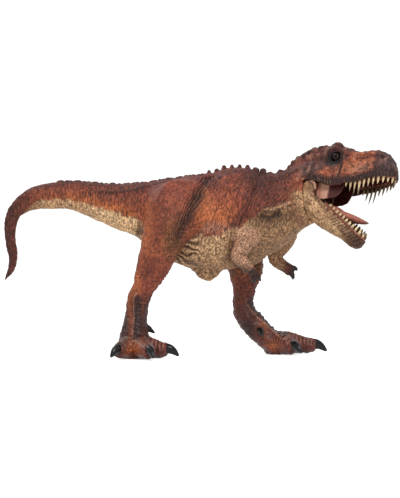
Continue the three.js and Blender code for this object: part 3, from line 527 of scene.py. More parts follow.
# Seen from the side
def picture_places(points, mirrored=True):
    """Columns and rows of the photograph at which points show. Mirrored, a point of the far side
    gets the place of its twin on the near side."""
    depth = -np.abs(points[:, 1]) if mirrored else points[:, 1]
    height = points[:, 2] * math.cos(VIEW_RISE) + depth * math.sin(VIEW_RISE)
    return np.stack([MIDDLE_U + points[:, 0] / PIXEL, GROUND_V - height / PIXEL], axis=1)


def along_body(column):
    """The place along X, in mm, that shows in a column of the photograph."""
    return (column - MIDDLE_U) * PIXEL


# Skin: which node each point belongs to
OWNER_REACH = 2.5  # mm round a node in which a point may belong to it


def nearest_nodes(points):
    """The number of the skin node that each point is nearest to."""
    best = np.full(len(points), np.inf)
    owner = np.zeros(len(points), int)
    for number, name in enumerate(SKIN_NODES):
        node_points, faces = welded(name)
        tree = BVHTree.FromPolygons(node_points.tolist(), faces)
        low, high = node_points.min(0) - OWNER_REACH, node_points.max(0) + OWNER_REACH
        asked = np.nonzero(((points > low) & (points < high)).all(1))[0]
        gaps = np.array([tree.find_nearest(point)[3] for point in points[asked].tolist()])
        nearer = gaps < best[asked]
        best[asked[nearer]] = gaps[nearer]
        owner[asked[nearer]] = number
    return owner


# A fold of skin over the top of each of the jaw's lobes, outside the room that the lobe turns in
FOLD_FACES = (14.3, 15.6)  # from the middle plane
FOLD_OUTLINE = [(-7.5, 4.2), (-7.5, 9), (7.5, 9), (10.5, 2.4), (8, 2.0), (2.5, 3.6), (-2.8, 5.2)]


def lip_fold(hand):
    rings = [[(along, hand * face, rise) for along, rise in FOLD_OUTLINE] for face in FOLD_FACES]
    points, faces = loft(rings)
    return out_of(head_turn, points), faces


skin = remeshed([welded(name, SEAM_FILL) for name in SKIN_NODES] + [lip_fold(-1), lip_fold(1)], "skin")
owner = nearest_nodes(skin.points)
part = {name: (owner == number).astype(float) for number, name in enumerate(SKIN_NODES)}
SOFT_WIDTH = 8  # mm over which a node's mask fades into the next
soft_steps = int(SOFT_WIDTH / voxel("skin"))
soft = {name: skin.softened(mask, soft_steps) for name, mask in part.items()}
head_places = into(head_turn, skin.points)
on_skull = part["head"] * ramp(head_places[:, 0], -16, -8)

# Smoothing: the trunk most, thin forms least
legs = soft["right_leg"] + soft["left_leg"]
arms = soft["right_arm"] + soft["left_arm"]
height = skin.points[:, 2]
strength = 0.5 * (
    soft["torso"]
    + soft["tail"] * (0.12 + 0.88 * ramp(skin.points[:, 0], -128, -100))
    + legs * (0.12 + 0.5 * ramp(height, 18, 45))
    + 0.1 * arms
    + soft["head"] * (1 - 0.82 * ramp(head_places[:, 0], -22, -8))
)


def near_edge(mask, there, reach):
    """1 on the edge of a mask, falling to 0 at a reach, at the points that are there."""
    edge = np.nonzero((np.abs(skin.neighbours_mean(mask) - mask) > 0.1) & there)[0]
    tree = KDTree(len(edge))
    for number, place in enumerate(skin.points[edge].tolist()):
        tree.insert(place, number)
    tree.balance()
    result = np.zeros(len(mask))
    asked = np.nonzero(there)[0]
    gaps = np.array([tree.find(place)[2] for place in skin.points[asked].tolist()])
    result[asked] = fall(gaps, 0.45 * reach, reach)
    return result


KNOB_START, KNOB_STEP, KNOB_COUNT = 6.1, 5.55, 8  # the trunk's own knobs, in mm along X
KNOB_KEPT = 3.2  # mm round each that aren't smoothed
HIP_BLEND = 13.0  # mm on each side of the thigh's edge over which it melts into the hip
solid_knobs = []
for number in range(KNOB_COUNT):
    there = (np.abs(skin.points[:, 0] - KNOB_START - number * KNOB_STEP) < 1.2) & (part["torso"] > 0)
    solid_knobs.append(skin.points[np.nonzero(there)[0][skin.points[there, 2].argmax()]].copy())
    strength *= 0.1 + 0.9 * ramp(distances(skin.points, solid_knobs[-1]), KNOB_KEPT, KNOB_KEPT + 1.5)
skin.smooth(rounds("skin", 60), strength)
hip_band = near_edge(part["right_leg"] + part["left_leg"], height > 80, HIP_BLEND)
skin.smooth(rounds("skin", 900), 0.8 * hip_band * ramp(height, 84, 100))
skin.push(-0.75 * SEAM_FILL * fall(skin.points[:, 0], *JAW_ROOM))

# Sculpting
near = picture_places(skin.points)
shown = picture_places(skin.points, mirrored=False)
column, row = near.T
points = skin.points.copy()
facing = skin.normals()
upward = facing[:, 2]
sideways = np.abs(facing[:, 1])
torso, tail, head = part["torso"], part["tail"], part["head"]
right_leg, left_leg = part["right_leg"], part["left_leg"]
leg_part = right_leg + left_leg
arm_part = part["right_arm"] + part["left_arm"]
neck = head * (1 - on_skull)
soft_neck = soft["head"] * (1 - on_skull)
front_skin = (soft["torso"] + soft["head"]) * (1 - on_skull)
LEFT_THIGH_SHIFT = 40.0  # pixels that the left thigh is further forward
LEFT_FOLD_SHARE = 0.35  # the unseen side's folds are fainter
on_left = points[:, 1] > 0
shifted = near - np.outer(on_left * LEFT_THIGH_SHIFT, (1, 0))
fold_share = np.where(on_left, LEFT_FOLD_SHARE, 1.0)

# Trunk and tail: fine streaks down the sides, with the lean of the folds
STREAK_LEAN = 0.4  # run per rise on the trunk
STREAK_SIZE = (1.7, 3.0, 7.0)
body = soft["torso"] + soft["tail"]
leant = points.copy()
leant[:, 0] -= STREAK_LEAN * points[:, 2] * (soft["torso"] + soft_neck)
streaks = wrinkles(leant, STREAK_SIZE, 3) * ramp(sideways, 0.2, 0.6)
streaks *= (body + soft_neck) * ramp(upward, -0.75, -0.2)
relief = -0.5 * streaks


def add_grain(rows):
    """Adds noise or wrinkles: height in mm, form, places, size of its lumps in mm, seed, mask."""
    for rise, form, places, size, seed, mask in rows:
        np.add(relief, rise * form(places, size, seed) * mask, out=relief)


def add_strokes(rows):
    """Adds ridges and grooves: height in mm, places, line, half width, mask."""
    for rise, places, line, width, mask in rows:
        np.add(relief, rise * stroke(places, line, width) * mask, out=relief)


def add_ovals(rows):
    """Adds swellings and hollows: height in mm, places, middle, radii, mask."""
    for rise, places, middle, radii, mask in rows:
        np.add(relief, rise * blob(places, middle, radii) * mask, out=relief)


def sheaf(places, line, reach, step):
    """Folds side by side: 1 in the grooves of a band on both sides of a line, 0 on the folds."""
    distance, _, side = along_line(places, line)
    waver = 2.6 * noise(points, 8.0, 7)
    return waves(side * distance + waver, step) * bell(distance, 0, reach)


# Folds of the trunk, as columns and rows of the photograph
FLANK_FOLD = [(208, 176), (200, 191), (191, 208), (184, 224), (180, 236)]
FLANK_SHADE_LINE = [(200, 195), (195, 206), (189, 220)]
SHOULDER_FOLD = [(259, 176), (256, 188), (251, 200), (245, 212), (238, 224)]
NECK_FOLD = [(285, 172), (284, 186), (279, 198), (268, 206)]
COLLARBONE = [(262, 210), (272, 209), (284, 205), (298, 200)]
COLLARBONE_SHADE_LINE = [(262, 217), (270, 219), (280, 214), (290, 210)]
hip = np.clip(soft["torso"] + legs * ramp(height, 80, 90), 0, 1)
flank = hip * ramp(sideways, 0.1, 0.4) * fold_share
flank_sheaf = sheaf(shifted, FLANK_FOLD, 7.5, 3.1) * flank
shoulder_sheaf = sheaf(near, SHOULDER_FOLD, 9.0, 3.6) * soft["torso"] * ramp(row, 170, 180)
neck_sheaf = sheaf(near, NECK_FOLD, 8.0, 3.8) * front_skin
relief -= 0.9 * flank_sheaf + 0.45 * shoulder_sheaf + 0.35 * neck_sheaf
add_strokes((
    (-1.5, shifted, FLANK_FOLD, 4.2, flank),
    (-0.7, near, SHOULDER_FOLD, 3.4, soft["torso"]),
    (1.0, near, COLLARBONE, 2.0, front_skin),
    (-0.9, near, COLLARBONE_SHADE_LINE, 3.2, soft["torso"]),
))

# Pleats that spread from the thigh over the belly
PLEAT_CENTRE = (167.0, 246.0)
PLEATS_ROUND = 25
offset = shifted - np.array(PLEAT_CENTRE)
pleat_angle = np.arctan2(offset[:, 1], offset[:, 0])
pleat_reach = np.hypot(offset[:, 0], offset[:, 1])
pleats = 0.5 + 0.5 * np.cos(PLEATS_ROUND * pleat_angle + 4.2 * noise(points, 7.0, 8))
pleat_area = ramp(pleat_reach, 8, 14) * fall(pleat_reach, 26, 42 + 6 * noise(points, 6.0, 18))
pleat_area *= ramp(offset[:, 1], -26, -16) * soft["torso"] * fold_share
relief += 0.9 * (pleats - 0.6) * pleat_area

# Pebbles, loose skin on belly and throat, folds on the legs' fronts and above the ankles, fine
# creases on the arms
leg_front = legs * ramp(facing[:, 0], -0.1, 0.6) * ramp(height, 28, 45)
add_grain((
    (0.3, noise, leant, (3.6, 6.0, 22.0), 4, body),
    (0.26, noise, points, 1.7, 5, body + 0.7 * legs),
    (0.4, noise, points, 7.0, 6, body + legs),
    (-0.5, wrinkles, points, (3.4, 3.4, 2.4), 9, soft["torso"] * ramp(row, 222, 236) * (1 - pleat_area)),
    (-0.7, wrinkles, points, (1.8, 3.0, 6.0), 10, soft_neck * ramp(row, 196, 208)),
    (-0.75, wrinkles, points, (7.0, 7.0, 2.3), 11, leg_front * fall(height, 92, 108)),
    (-0.4, wrinkles, points, (4.5, 4.5, 2.4), 12, legs * fall(height, 55, 75)),
    (-0.14, wrinkles, points, 2.6, 13, legs * ramp(height, 55, 75)),
    (0.3, noise, points, 2.6, 28, legs),
    (-0.4, wrinkles, points, (2.4, 2.4, 1.8), 14, arms),
))

# Feet: ridges across each toe, a cuff before each claw, and scutes down the insteps
FOOT_PLACES = {"right_leg": (-46.4, -22.3), "left_leg": (53.5, 32.0)}
TOE_HEADINGS = {"right_leg": (-15, -70, -125), "left_leg": (-53, 2, 57)}
TOE_LENGTHS = (23, 29, 22)
DEWCLAWS = {"right_leg": ((-41.6, -19.9, 22.2), 10), "left_leg": ((42.8, 26.3, 18.0), -78)}
RING_STEP = 2.7  # between the ridges across a toe
SCUTES = {
    "right_leg": [(138, 298), (138.5, 318), (137, 336)],
    "left_leg": [(251, 302), (262, 314), (284, 334)],
}
SCUTE_STEP = 3.8
toe_ridges = np.zeros(len(points))
scutes = np.zeros(len(points))
for leg_name, place in FOOT_PLACES.items():
    for heading, length in zip(TOE_HEADINGS[leg_name], TOE_LENGTHS):
        turn = math.radians(heading)
        offset = points[:, :2] - np.array(place)
        along = offset @ np.array([math.cos(turn), math.sin(turn)])
        across = offset @ np.array([-math.sin(turn), math.cos(turn)])
        on_toe = part[leg_name] * fall(np.abs(across), 6.5, 9) * fall(height, 15, 19)
        there = on_toe * ramp(along, 5, 9) * fall(along, length - 1, length + 1) * ramp(upward, -0.2, 0.3)
        ridges = waves(along, RING_STEP)
        relief += 0.28 * (ridges - 0.5) * there
        toe_ridges = np.maximum(toe_ridges, there * ridges)
        relief += 0.6 * bell(along, length, 1.3) * on_toe
    distance, along, _ = along_line(shown, SCUTES[leg_name])
    band = np.exp(-((distance / 4.4) ** 4)) * soft[leg_name]
    relief += 0.4 * (waves(along, SCUTE_STEP, 2.6 * noise(points, 4.0, 25)) - 0.5) * band
    scutes = np.maximum(scutes, band)

# Rows of knobs on the back and the tail, and a lower row on each side of the tail's root
BACK_SPIKES = (257, 264, 271, 279, 287)
TAIL_ROW = [(100, 192), (116, 192.5), (130, 191), (144, 187), (154, 182), (170, 177)]
NECK_ROW = [(262, 181), (276, 181), (290, 172), (302, 163)]
KNOB_FORM = 1.3  # above 1, a knob has a flatter top and steeper sides than a bell
knobs = np.zeros(len(points))
body_points = points[torso + tail + neck > 0.5]
body_near = near[torso + tail + neck > 0.5]


def back_place(x, lean):
    """The skin's point over the middle of the body at x, or to a side of it by an angle."""
    slice_points = body_points[np.abs(body_points[:, 0] - x) < voxel("skin")]
    middle = (slice_points.min(0) + slice_points.max(0)) / 2
    angle = np.arctan2(slice_points[:, 1] - middle[1], slice_points[:, 2] - middle[2])
    return slice_points[np.abs(angle - math.radians(lean)).argmin()]


def side_places(line, step):
    """Points of the skin on both sides of the body, at steps along a line in the photograph."""
    line = np.array(line, float)
    lengths = np.concatenate([[0], np.cumsum(np.linalg.norm(np.diff(line, axis=0), axis=1))])
    found = []
    for place in np.arange(0, lengths[-1], step):
        seen = np.array([np.interp(place, lengths, line[:, axis]) for axis in range(2)])
        for hand in (-1, 1):
            there = body_points[:, 1] * hand > 0
            found.append(body_points[there][distances(body_near[there], seen).argmin()])
    return found


def on_skin(place):
    """The skin's point nearest to a place."""
    return points[distances(points, place).argmin()]


def add_knob(offset, radius, rise, mask=1):
    """A round knob on the skin, by each point's offset from the knob's middle."""
    bump = np.exp(-(((offset**2).sum(1) / radius**2) ** KNOB_FORM)) * mask
    np.add(relief, rise * bump, out=relief)
    np.maximum(knobs, bump, out=knobs)


def add_knobs(rows):
    """Knobs on the skin: places, radius, height."""
    for places, radius, rise in rows:
        for place in places:
            add_knob(points - place, radius, rise)


add_knobs((
    ([on_skin(place) for place in solid_knobs], 2.0, 0.7),
    ([back_place(along_body(spike), 0) for spike in BACK_SPIKES], 2.1, 1.5),
    ([back_place(x, lean) for x in np.arange(4, 62, 5.2) for lean in (-15, 15)], 1.7, 1.0),
    ([back_place(along_body(knob), 0) for knob in np.arange(58, 204, 4.4)], 1.4, 1.0),
    (side_places(TAIL_ROW, 3.4), 1.3, 0.7),
    (side_places(NECK_ROW, 4.6), 1.5, 0.7),
))

# Skull, by its own frame
LIP_LINE = [(3, 3.8), (10, 1), (16, -1.6), (37, -1.9), (45, -0.6), (52, 0.6), (58, 1.4), (62, 1.8), (66, 3.2)]
SKULL_HALF = [
    (-24, 9.4), (-13, 13.4), (-4.6, 15.1), (3, 15.6), (16, 15.3), (24, 14.7), (37, 13.9), (45, 13.3),
    (52, 12.3), (58, 10.5), (62.3, 7.2), (65.6, 1.6),
]
EYE_CENTRE = (19.8, 10.6, 20.5)
EYE_RADIUS = 3.3
NOSTRIL = (57.2, 7.4, 17.0)
skull_x, skull_y, skull_z = head_places.T
across = np.abs(skull_y)
profile = head_places[:, [0, 2]]
folded = np.stack([skull_x, across, skull_z], axis=1)
lateral = on_skull * ramp(across, 6.5, 8.5)
above_lip = skull_z - read_off(LIP_LINE, skull_x)
inside_mouth = on_skull * ramp(skull_x, 4, 6) * ramp(read_off(SKULL_HALF, skull_x) - across, 0.75, 1.15)
inside_mouth *= fall(skull_z, 7.6, 8.6)
outside = on_skull * (1 - inside_mouth)
nostril_distance = distances(folded, NOSTRIL)
socket = blob(profile, (18.8, 19.4), (7.6, 5.4)) * lateral
relief -= 1.5 * socket
relief += 0.9 * bell(distances(folded, EYE_CENTRE), 4.3, 0.8) * lateral
relief += (0.45 * bell(nostril_distance, 2.6, 0.8) - 2.0 * bell(nostril_distance, 0, 1.9)) * outside
BROW_RIDGE = [(12.5, 24.5), (16.5, 27), (21, 27.2), (25.5, 25), (27.5, 21.5)]
CHEEK_RIDGE = [(27.5, 19), (28.5, 12), (27, 5), (22, 2.5)]
CHEEK_CREASE = [(25.6, 14), (25.4, 8), (24.5, 4)]
SNOUT_EDGE = [(29, 22.5), (38, 21.5), (47, 20.5), (55, 19)]
add_strokes((
    (1.1, profile, BROW_RIDGE, 1.6, lateral),
    (0.7, profile, CHEEK_RIDGE, 1.3, lateral),
    (-0.9, profile, CHEEK_CREASE, 0.9, lateral),
    (0.6, profile, SNOUT_EDGE, 1.3, lateral),
))
add_ovals((
    (-1.1, profile, (4, 17.5), (6.5, 5), lateral),
    (-0.9, profile, (39, 12.5), (8.5, 5), lateral),
    (0.6, profile, (-4, 9), (6, 6), lateral),
    (-1.8, profile, (-17, 21), (9, 9), outside),
))
add_grain((
    (-0.3, wrinkles, head_places, (1.9, 1.9, 1.5), 15, outside * (1 - socket)),
    (0.22, noise, head_places, 1.1, 16, outside),
    (0.25, noise, head_places, 3.2, 17, outside),
))

# Upright creases in the upper lip
LIP_CREASE_STEP = 2.1
lip_band = outside * ramp(above_lip, -0.5, 0.4) * fall(above_lip, 2.6, 3.8) * ramp(skull_x, 5, 9)
lip_stripes = waves(skull_x, LIP_CREASE_STEP, 2.4 * noise(head_places, 4.0, 19))
relief += (0.2 - 0.3 * lip_stripes) * lip_band

# Knobs along the snout's edges by the head's frame, and on the outline behind the brow as it shows
SNOUT_KNOBS = [
    (29, 4.6, 26.8), (34.5, 4.6, 26), (40, 4.2, 25.2), (45.5, 3.8, 24.8), (51, 3.4, 24.4), (56.5, 3, 22.4),
    (61, 2.6, 17.5),
]
CREST_ROW = [
    (281, 170), (287.5, 168), (293, 163.5), (298, 159.5), (303, 155.5), (309, 152.5), (315, 149.5),
    (321, 148), (326, 147),
]
LONG_KNOB = np.array([1, 1, 0.35])  # a snout knob is drawn out upwards
MIRROR = np.array([[1, 1, 1], [1, -1, 1]])
crest = outside * ramp(into(head_turn, facing + hinge_place)[:, 2], 0.2, 0.7)
for knob in SNOUT_KNOBS:
    add_knob((folded - np.array(knob)) * LONG_KNOB, 2.0, 0.8, crest)
head_near = np.where((head > 0.5)[:, None], near, -99)
for seen in CREST_ROW:
    place = into(head_turn, points[distances(head_near, seen).argmin()][None])
    add_knobs((([on_skin(there) for there in out_of(head_turn, place * MIRROR)], 2.0, 1.5),))

# The jaw's room keeps its size
near_hinge = on_skull * fall(np.hypot(skull_x, skull_z), 8, 11)
relief *= 1 - near_hinge * (across < 15.2)
relief = np.where(inside_mouth > 0.5, np.minimum(relief, 0.0) * 0.3, relief)
skin.push(relief)
skin.smooth(1, np.full(len(points), 0.25))
skin.points = np.clip(skin.points, *(np.array(corner) / MM for corner in cad_box))

# Painting: trunk and tail
# A line on the belly along the right arm's lower edge, where the arm's shadow is painted
ARM_SHADE = [(232, 244), (229, 256), (236, 266), (248, 270)]
BELLY_EDGE = [
    (313, 203), (300, 204), (283, 207), (262, 211), (252, 219), (240, 227), (222, 233), (205, 236),
    (188, 232), (172, 236), (155, 229), (139, 220), (110, 211), (81, 203), (57, 198.5), (43, 200), (34, 205),
    (27, 211.5), (21, 218), (17.5, 228), (17, 240), (18.5, 257), (14, 277), (4, 285),
]
distance, _, side = along_line(near, BELLY_EDGE)
ragged = 1.6 * noise(points, 4.0, 21) + 1.8 * noise(leant, (1.7, 3.0, 8.0), 22)
below_edge = -side * distance + ragged * ramp(column, 22, 40)
mottle = 0.5 + 0.5 * noise(points, 5.0, 23)
trunk = torso + tail + neck
upper = fall(below_edge, -1.8, 1.8)
lower = 1 - upper
back, belly, under_tail = torso * upper, torso * lower, tail * lower
tail_tip = tail * fall(points[:, 0], -141, -116)
skin.lay_rows((
    (DEEP_RUST, 0.9, trunk * ramp(upward, 0.1, 0.7)),
    (ORANGE, 0.8, tail * ramp(below_edge, -12, -3) * ramp(column, 30, 100)),
    (ORANGE, 0.65, torso * blob(near, (216, 216), (28, 13))),
    (ORANGE, 0.3, trunk * blob(near, (290, 195), (12, 9))),
    (ORANGE, 0.5, torso * blob(near, (190, 204), (9, 18))),
    (MAROON, 0.85, trunk * ramp(upward + 0.25 * (mottle - 0.5), 0.5, 0.85)),
    (MAROON, 0.95, tail * fall(points[:, 0], -141, -112)),
    (DARK, 0.35, tail_tip),
    (CREAM, 1, under_tail),
    (CREAM * 1.15, 0.7, under_tail * blob(near, (120, 222), (34, 20))),
    (TAN, 0.75, under_tail * fall(column, 70, 110)),
    (BROWN, 0.8, under_tail * fall(column, 24, 46)),
    (TAN, 1, belly + neck * lower),
    (CREAM, 0.55, belly * blob(near, (212, 250), (20, 14))),
    (CREAM, 0.7, neck * lower * ramp(column, 294, 306)),
    (MAROON, 0.25, torso * bell(below_edge, -2, 2.6) * ramp(column, 180, 196)),
    (DARK, 0.65, belly * pleat_area * fall(pleats, 0.25, 0.75)),
    (CREAM, 0.4, belly * pleat_area * ramp(pleats, 0.7, 0.95)),
    # Painted shade in the belly's hollow in front of the thigh
    (OLIVE, 0.7, torso * blob(near, (178, 236), (9, 20))),
    (DUSTY_PINK, 0.4, torso * blob(near, (212, 228), (26, 6))),
    (MAROON, 0.85, knobs * trunk),
    (DARK, 0.6, ramp(knobs, 0.45, 0.9) * trunk),
    (DARK, 0.6, stroke(near, SHOULDER_FOLD, 4.5) * back),
    (DARK, 0.3, shoulder_sheaf * upper),
    (MAROON, 0.85, blob(near, (264, 188), (12, 18)) * back),
    (DARK, 0.85, blob(near, (257, 186), (9, 18)) * back),
    (DEEP_RUST, 0.9, blob(near, (250, 202), (16, 20)) * back),
    (MAROON, 0.5, trunk * upper * ramp(column, 262, 272) * fall(column, 296, 304)),
    (DARK, 0.2, neck_sheaf * upper * trunk),
    (CREAM, 0.55, stroke(near, COLLARBONE, 1.8) * trunk * ramp(column, 258, 268)),
    # Painted shade in the groove below the collarbone's ridge
    (OLIVE, 0.9, stroke(near, COLLARBONE_SHADE_LINE, 6.0) * torso),
    (MAROON, 0.35, stroke(near, SHOULDER_FOLD, 14.0) * back),
    (OLIVE, 0.5, blob(near, (290, 216), (12, 6)) * trunk * lower),
    # Painted shadow of the right arm on the belly
    (OLIVE, 0.8, stroke(near, ARM_SHADE, 4.5) * belly),
))

# Painting: legs
inner_side = left_leg * fall(facing[:, 1], -0.1, 0.4)
skin.lay_rows((
    (DEEP_RUST, 0.9, leg_part * ramp(upward, 0.1, 0.7) * ramp(height, 95, 110)),
    (MAROON, 0.5, leg_part * blob(near, (157, 213), (12, 34))),
    (ORANGE, 0.5, leg_part * blob(near, (145, 222), (9, 34))),
    (OLIVE, 0.9, right_leg * blob(near, (174, 240), (13, 26))),
    # Painted shade at the thigh's front edge, in the fold by the flank
    (DARK, 0.5, right_leg * blob(near, (180, 226), (7, 16))),
    (DEEP_RUST, 0.7, leg_part * fall(height, 62, 74)),
    (ORANGE, 0.6, right_leg * blob(near, (134, 282), (8, 18))),
    (MAROON, 0.55, right_leg * blob(near, (150, 268), (9, 14))),
    (OLIVE, 0.9, inner_side * ramp(height, 50, 62)),
    # Painted shade on the left leg's inner side, where it faces the right leg
    (DARK, 0.45, inner_side * ramp(height, 66, 84)),
    (DARK, 0.4, inner_side * blob(shown, (250, 290), (16, 14))),
    (ORANGE, 0.5, left_leg * blob(shifted, (150, 222), (12, 34))),
    (MAROON, 0.4, left_leg * blob(shifted, (164, 213), (12, 34))),
    (MAROON, 0.8, leg_part * fall(height, 34, 48)),
    (DARK, 0.2, leg_part * fall(height, 40, 52)),
    (ORANGE, 0.5, right_leg * blob(shown, (129, 318), (4, 20))),
    (ORANGE, 0.75, right_leg * blob(shown, (133, 347), (9, 10))),
    (ORANGE, 0.4, left_leg * blob(shown, (262, 328), (7, 9))),
    (ORANGE, 0.4, left_leg * blob(shown, (274, 346), (9, 7))),
    (DARK, 0.85, right_leg * blob(shown, (125, 324), (5, 22))),
    (DARK, 0.85, right_leg * blob(shown, (119, 342), (9, 12))),
    (DARK, 0.6, right_leg * blob(shown, (147, 322), (4, 22))),
    (DARK, 0.8, left_leg * blob(shown, (249, 330), (8, 13))),
    (MAROON, 0.25, leg_part * fall(height, 14, 24) * ramp(upward, -0.3, 0.5)),
    (DARK, 0.9, leg_part * scutes),
    (PINK, 0.4, leg_part * np.maximum(toe_ridges - 0.55, 0)),
    # Painted shade along the feet's lowest edge, by the floor
    (DARK, 0.5, leg_part * fall(height, 0.5, 3.5)),
))
for leg_name, gap in (("right_leg", 4.6), ("left_leg", 5.0)):
    distance, _, side = along_line(shown, SCUTES[leg_name])
    skin.lay(PINK, 0.65 * bell(distance, gap, 0.8) * part[leg_name] * (side > 0) * mottle)

# Painting: the fold between thigh and flank, with painted shade in it, and pores on all rust-coloured skin
side = along_line(shifted, FLANK_FOLD)[2]
hips = torso + leg_part
pores = noise(leant, (1.2, 1.8, 2.2), 27)
red_skin = leg_part * ramp(height, 24, 40) + trunk * upper
skin.lay_rows((
    (ORANGE, 0.8, leg_part * (side < 0) * ramp(height, 84, 92) * blob(shifted, (203, 205), (12, 26))),
    # Painted shade along the fold and in a broad band at its front
    (DARK, 0.5, stroke(shifted, FLANK_FOLD, 4.5) * flank * hips),
    (DARK, 0.3, flank_sheaf * hips),
    (DARK, 0.85, stroke(shifted, FLANK_SHADE_LINE, 6.5) * flank * hips),
    (DARK, 0.24, red_skin * ramp(pores, 0.1, 0.7)),
    (ORANGE * 1.1, 0.13, red_skin * ramp(-pores, 0.15, 0.7)),
))

# Painting: arms
ARM_TIPS = [(39.5, -16.3, 52.7), (43.4, -14.5, 54.8), (70.3, 22.6, 60.9), (67.1, 21.9, 54.1)]
tip_distance = np.min([distances(points, tip) for tip in ARM_TIPS], axis=0)
claw_tips = arm_part * fall(tip_distance, 3.2, 4.6)
skin.lay_rows((
    (TAN, 1, arm_part),
    (ARM_TAN, 0.8, part["right_arm"]),
    (PLUM, 0.35, arm_part * mottle),
    (MAROON, 1, arm_part * fall(tip_distance, 7, 13)),
    (DARK, 0.8, part["right_arm"] * fall(height, 62, 70)),
    (DARK, 0.7, arm_part * fall(tip_distance, 4, 8)),
    (BLACKISH, 1, claw_tips),
))

# Painting: head
blotches = noise(head_places, 3.0, 26)
dark_lip = outside * ramp(skull_x, -6, 0) * fall(above_lip, 3.5, 8 + 2 * mottle)
lip_gap = lip_band * fall(lip_stripes, 0.2, 0.55)
temple = lateral * (1 - inside_mouth)
throat = head * ramp(skull_x, -16, -8) * fall(above_lip, -9, -5)
skin.lay_rows((
    (DEEP_RUST, 1, outside),
    (ORANGE, 0.6, outside * blob(profile, (39, 12), (15, 10))),
    (PINK, 0.2, outside * blob(profile, (40, 10), (11, 6))),
    (ORANGE, 0.4, outside * blob(profile, (12, 8), (10, 6))),
    (ORANGE, 0.5, outside * blob(profile, (-18, 6), (10, 14))),
    (GREY_BROWN, 0.8, temple * blob(profile, (1, 15.5), (9, 7.5))),
    (DARK, 0.45, temple * blob(profile, (-3, 12), (6, 9))),
    (GREY_BROWN, 0.9, outside * ramp(skull_x + 2.5 * noise(points, 4.0, 24), 48, 55)),
    (SNOUT_GREY, 0.8, outside * ramp(skull_x, 54, 62)),
    (MAROON, 0.6, outside * ramp(skull_z - 0.12 * skull_x, 20, 25)),
    (DARK, 0.8, outside * blob(folded, (18.5, 8.4, 29.5), (8, 6, 5))),
    (MAROON, 0.7, outside * blob(profile, (19, 21), (12, 8))),
    (DARK, 0.65, outside * ramp(blotches, 0.15, 0.6)),
    (PINK, 0.25, outside * ramp(-blotches, 0.2, 0.7)),
    (DARK, 0.9, outside * ramp(knobs, 0.1, 0.6)),
    (BLACKISH, 1.5, socket * (1 - inside_mouth)),
    (DARK, 0.8, outside * stroke(profile, CHEEK_CREASE, 1.4) * lateral),
    (BLACKISH, 1, outside * bell(nostril_distance, 0, 2.3)),
    (DARK, 0.95, dark_lip * ramp(above_lip, -3, -1)),
    (DARK, 1.2, lip_band),
    (CREAM, 0.2, lip_gap * fall(skull_x, 14, 22)),
    (PLUM, 0.2, lip_gap * ramp(skull_x, 14, 22)),
    (TAN, 1, throat * (1 - inside_mouth)),
    (THROAT, 1, inside_mouth),
))

# Flecks, gloss and streaks, as the material reads them
feet = leg_part * fall(height, 30, 42)
skin.speckle = np.max([0.9 * trunk * lower, 0.8 * arm_part, 0.35 * outside], axis=0)
skin.gloss = np.max([0.55 * feet, claw_tips, 0.5 * inside_mouth], axis=0)
skin.streak = np.clip(body + soft_neck + 0.5 * legs, 0, 1)

# Places where the photograph is darker: by what share the paint is deepened there, and where. Partly the
# figure's own darker paint, partly painted shade where marked.
for share, there in (
    (0.22, tail * upper),
    (0.12, tail_tip),
    (0.26, back * ramp(column, 234, 252)),
    (0.16, neck * upper),
    # Painted shade below the collarbone's ridge
    (0.4, torso * stroke(near, COLLARBONE_SHADE_LINE, 7.0)),
    (0.2, leg_part * fall(height, 40, 54) * ramp(height, 10, 20)),
    # Painted shade on the belly beside the arm
    (0.16, belly * ramp(column, 236, 250)),
    (0.2, neck * lower),
    (0.25, arm_part * fall(tip_distance, 9, 14)),
    (0.4, outside * blob(profile, (16, 22), (14, 8))),
    (0.3, outside * lip_band),
):
    skin.paint *= 1 - (share * there)[:, None]
skin.wash()
skin.lay(DARK, 0.7 * ramp(knobs, 0.35, 0.85) * (trunk + outside))

face_owner = owner[skin.faces[:, 0]]
shading_normals = skin.normals()
for number, name in enumerate(SKIN_NODES):
    piece = skin.object(name + "_skin", skin.faces[face_owner == number], skin_finish, shading_normals)
    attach(piece, "figure")
    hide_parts(name)


# Smooth runs for the small pieces
def smooth_rows(rows, count):
    """Rows of numbers, as many as count, on a smooth curve through given rows."""
    rows = np.array(rows, float)
    padded = np.vstack([2 * rows[0] - rows[1], rows, 2 * rows[-1] - rows[-2]])
    result = []
    for place in np.linspace(0, len(rows) - 1, count):
        k = min(int(place), len(rows) - 2)
        share = place - k
        a, b, c, d = padded[k:k + 4]
        third = 3 * (b - c) + d - a
        second = 2 * a - 5 * b + 4 * c - d
        result.append(b + 0.5 * share * (c - a + share * (second + share * third)))
    return np.array(result)


def horn(places, sizes, side, corners=14):
    """Points and faces of a tapering solid along places; sizes are half width and half height."""
    turns = np.arange(corners) * 2 * math.pi / corners
    side = np.array(side, float)
    rings = []
    for k, (place, (wide, high)) in enumerate(zip(places, sizes)):
        run = places[min(k + 1, len(places) - 1)] - places[max(k - 1, 0)]
        run /= np.linalg.norm(run)
        level = side - run * (side @ run)
        level /= np.linalg.norm(level)
        rise = np.cross(run, level)
        rings.append(place + np.outer(np.cos(turns) * wide, level) + np.outer(np.sin(turns) * high, rise))
    return loft(rings)


def plain_coat(points, colour):
    return np.tile(colour, (len(points), 1))


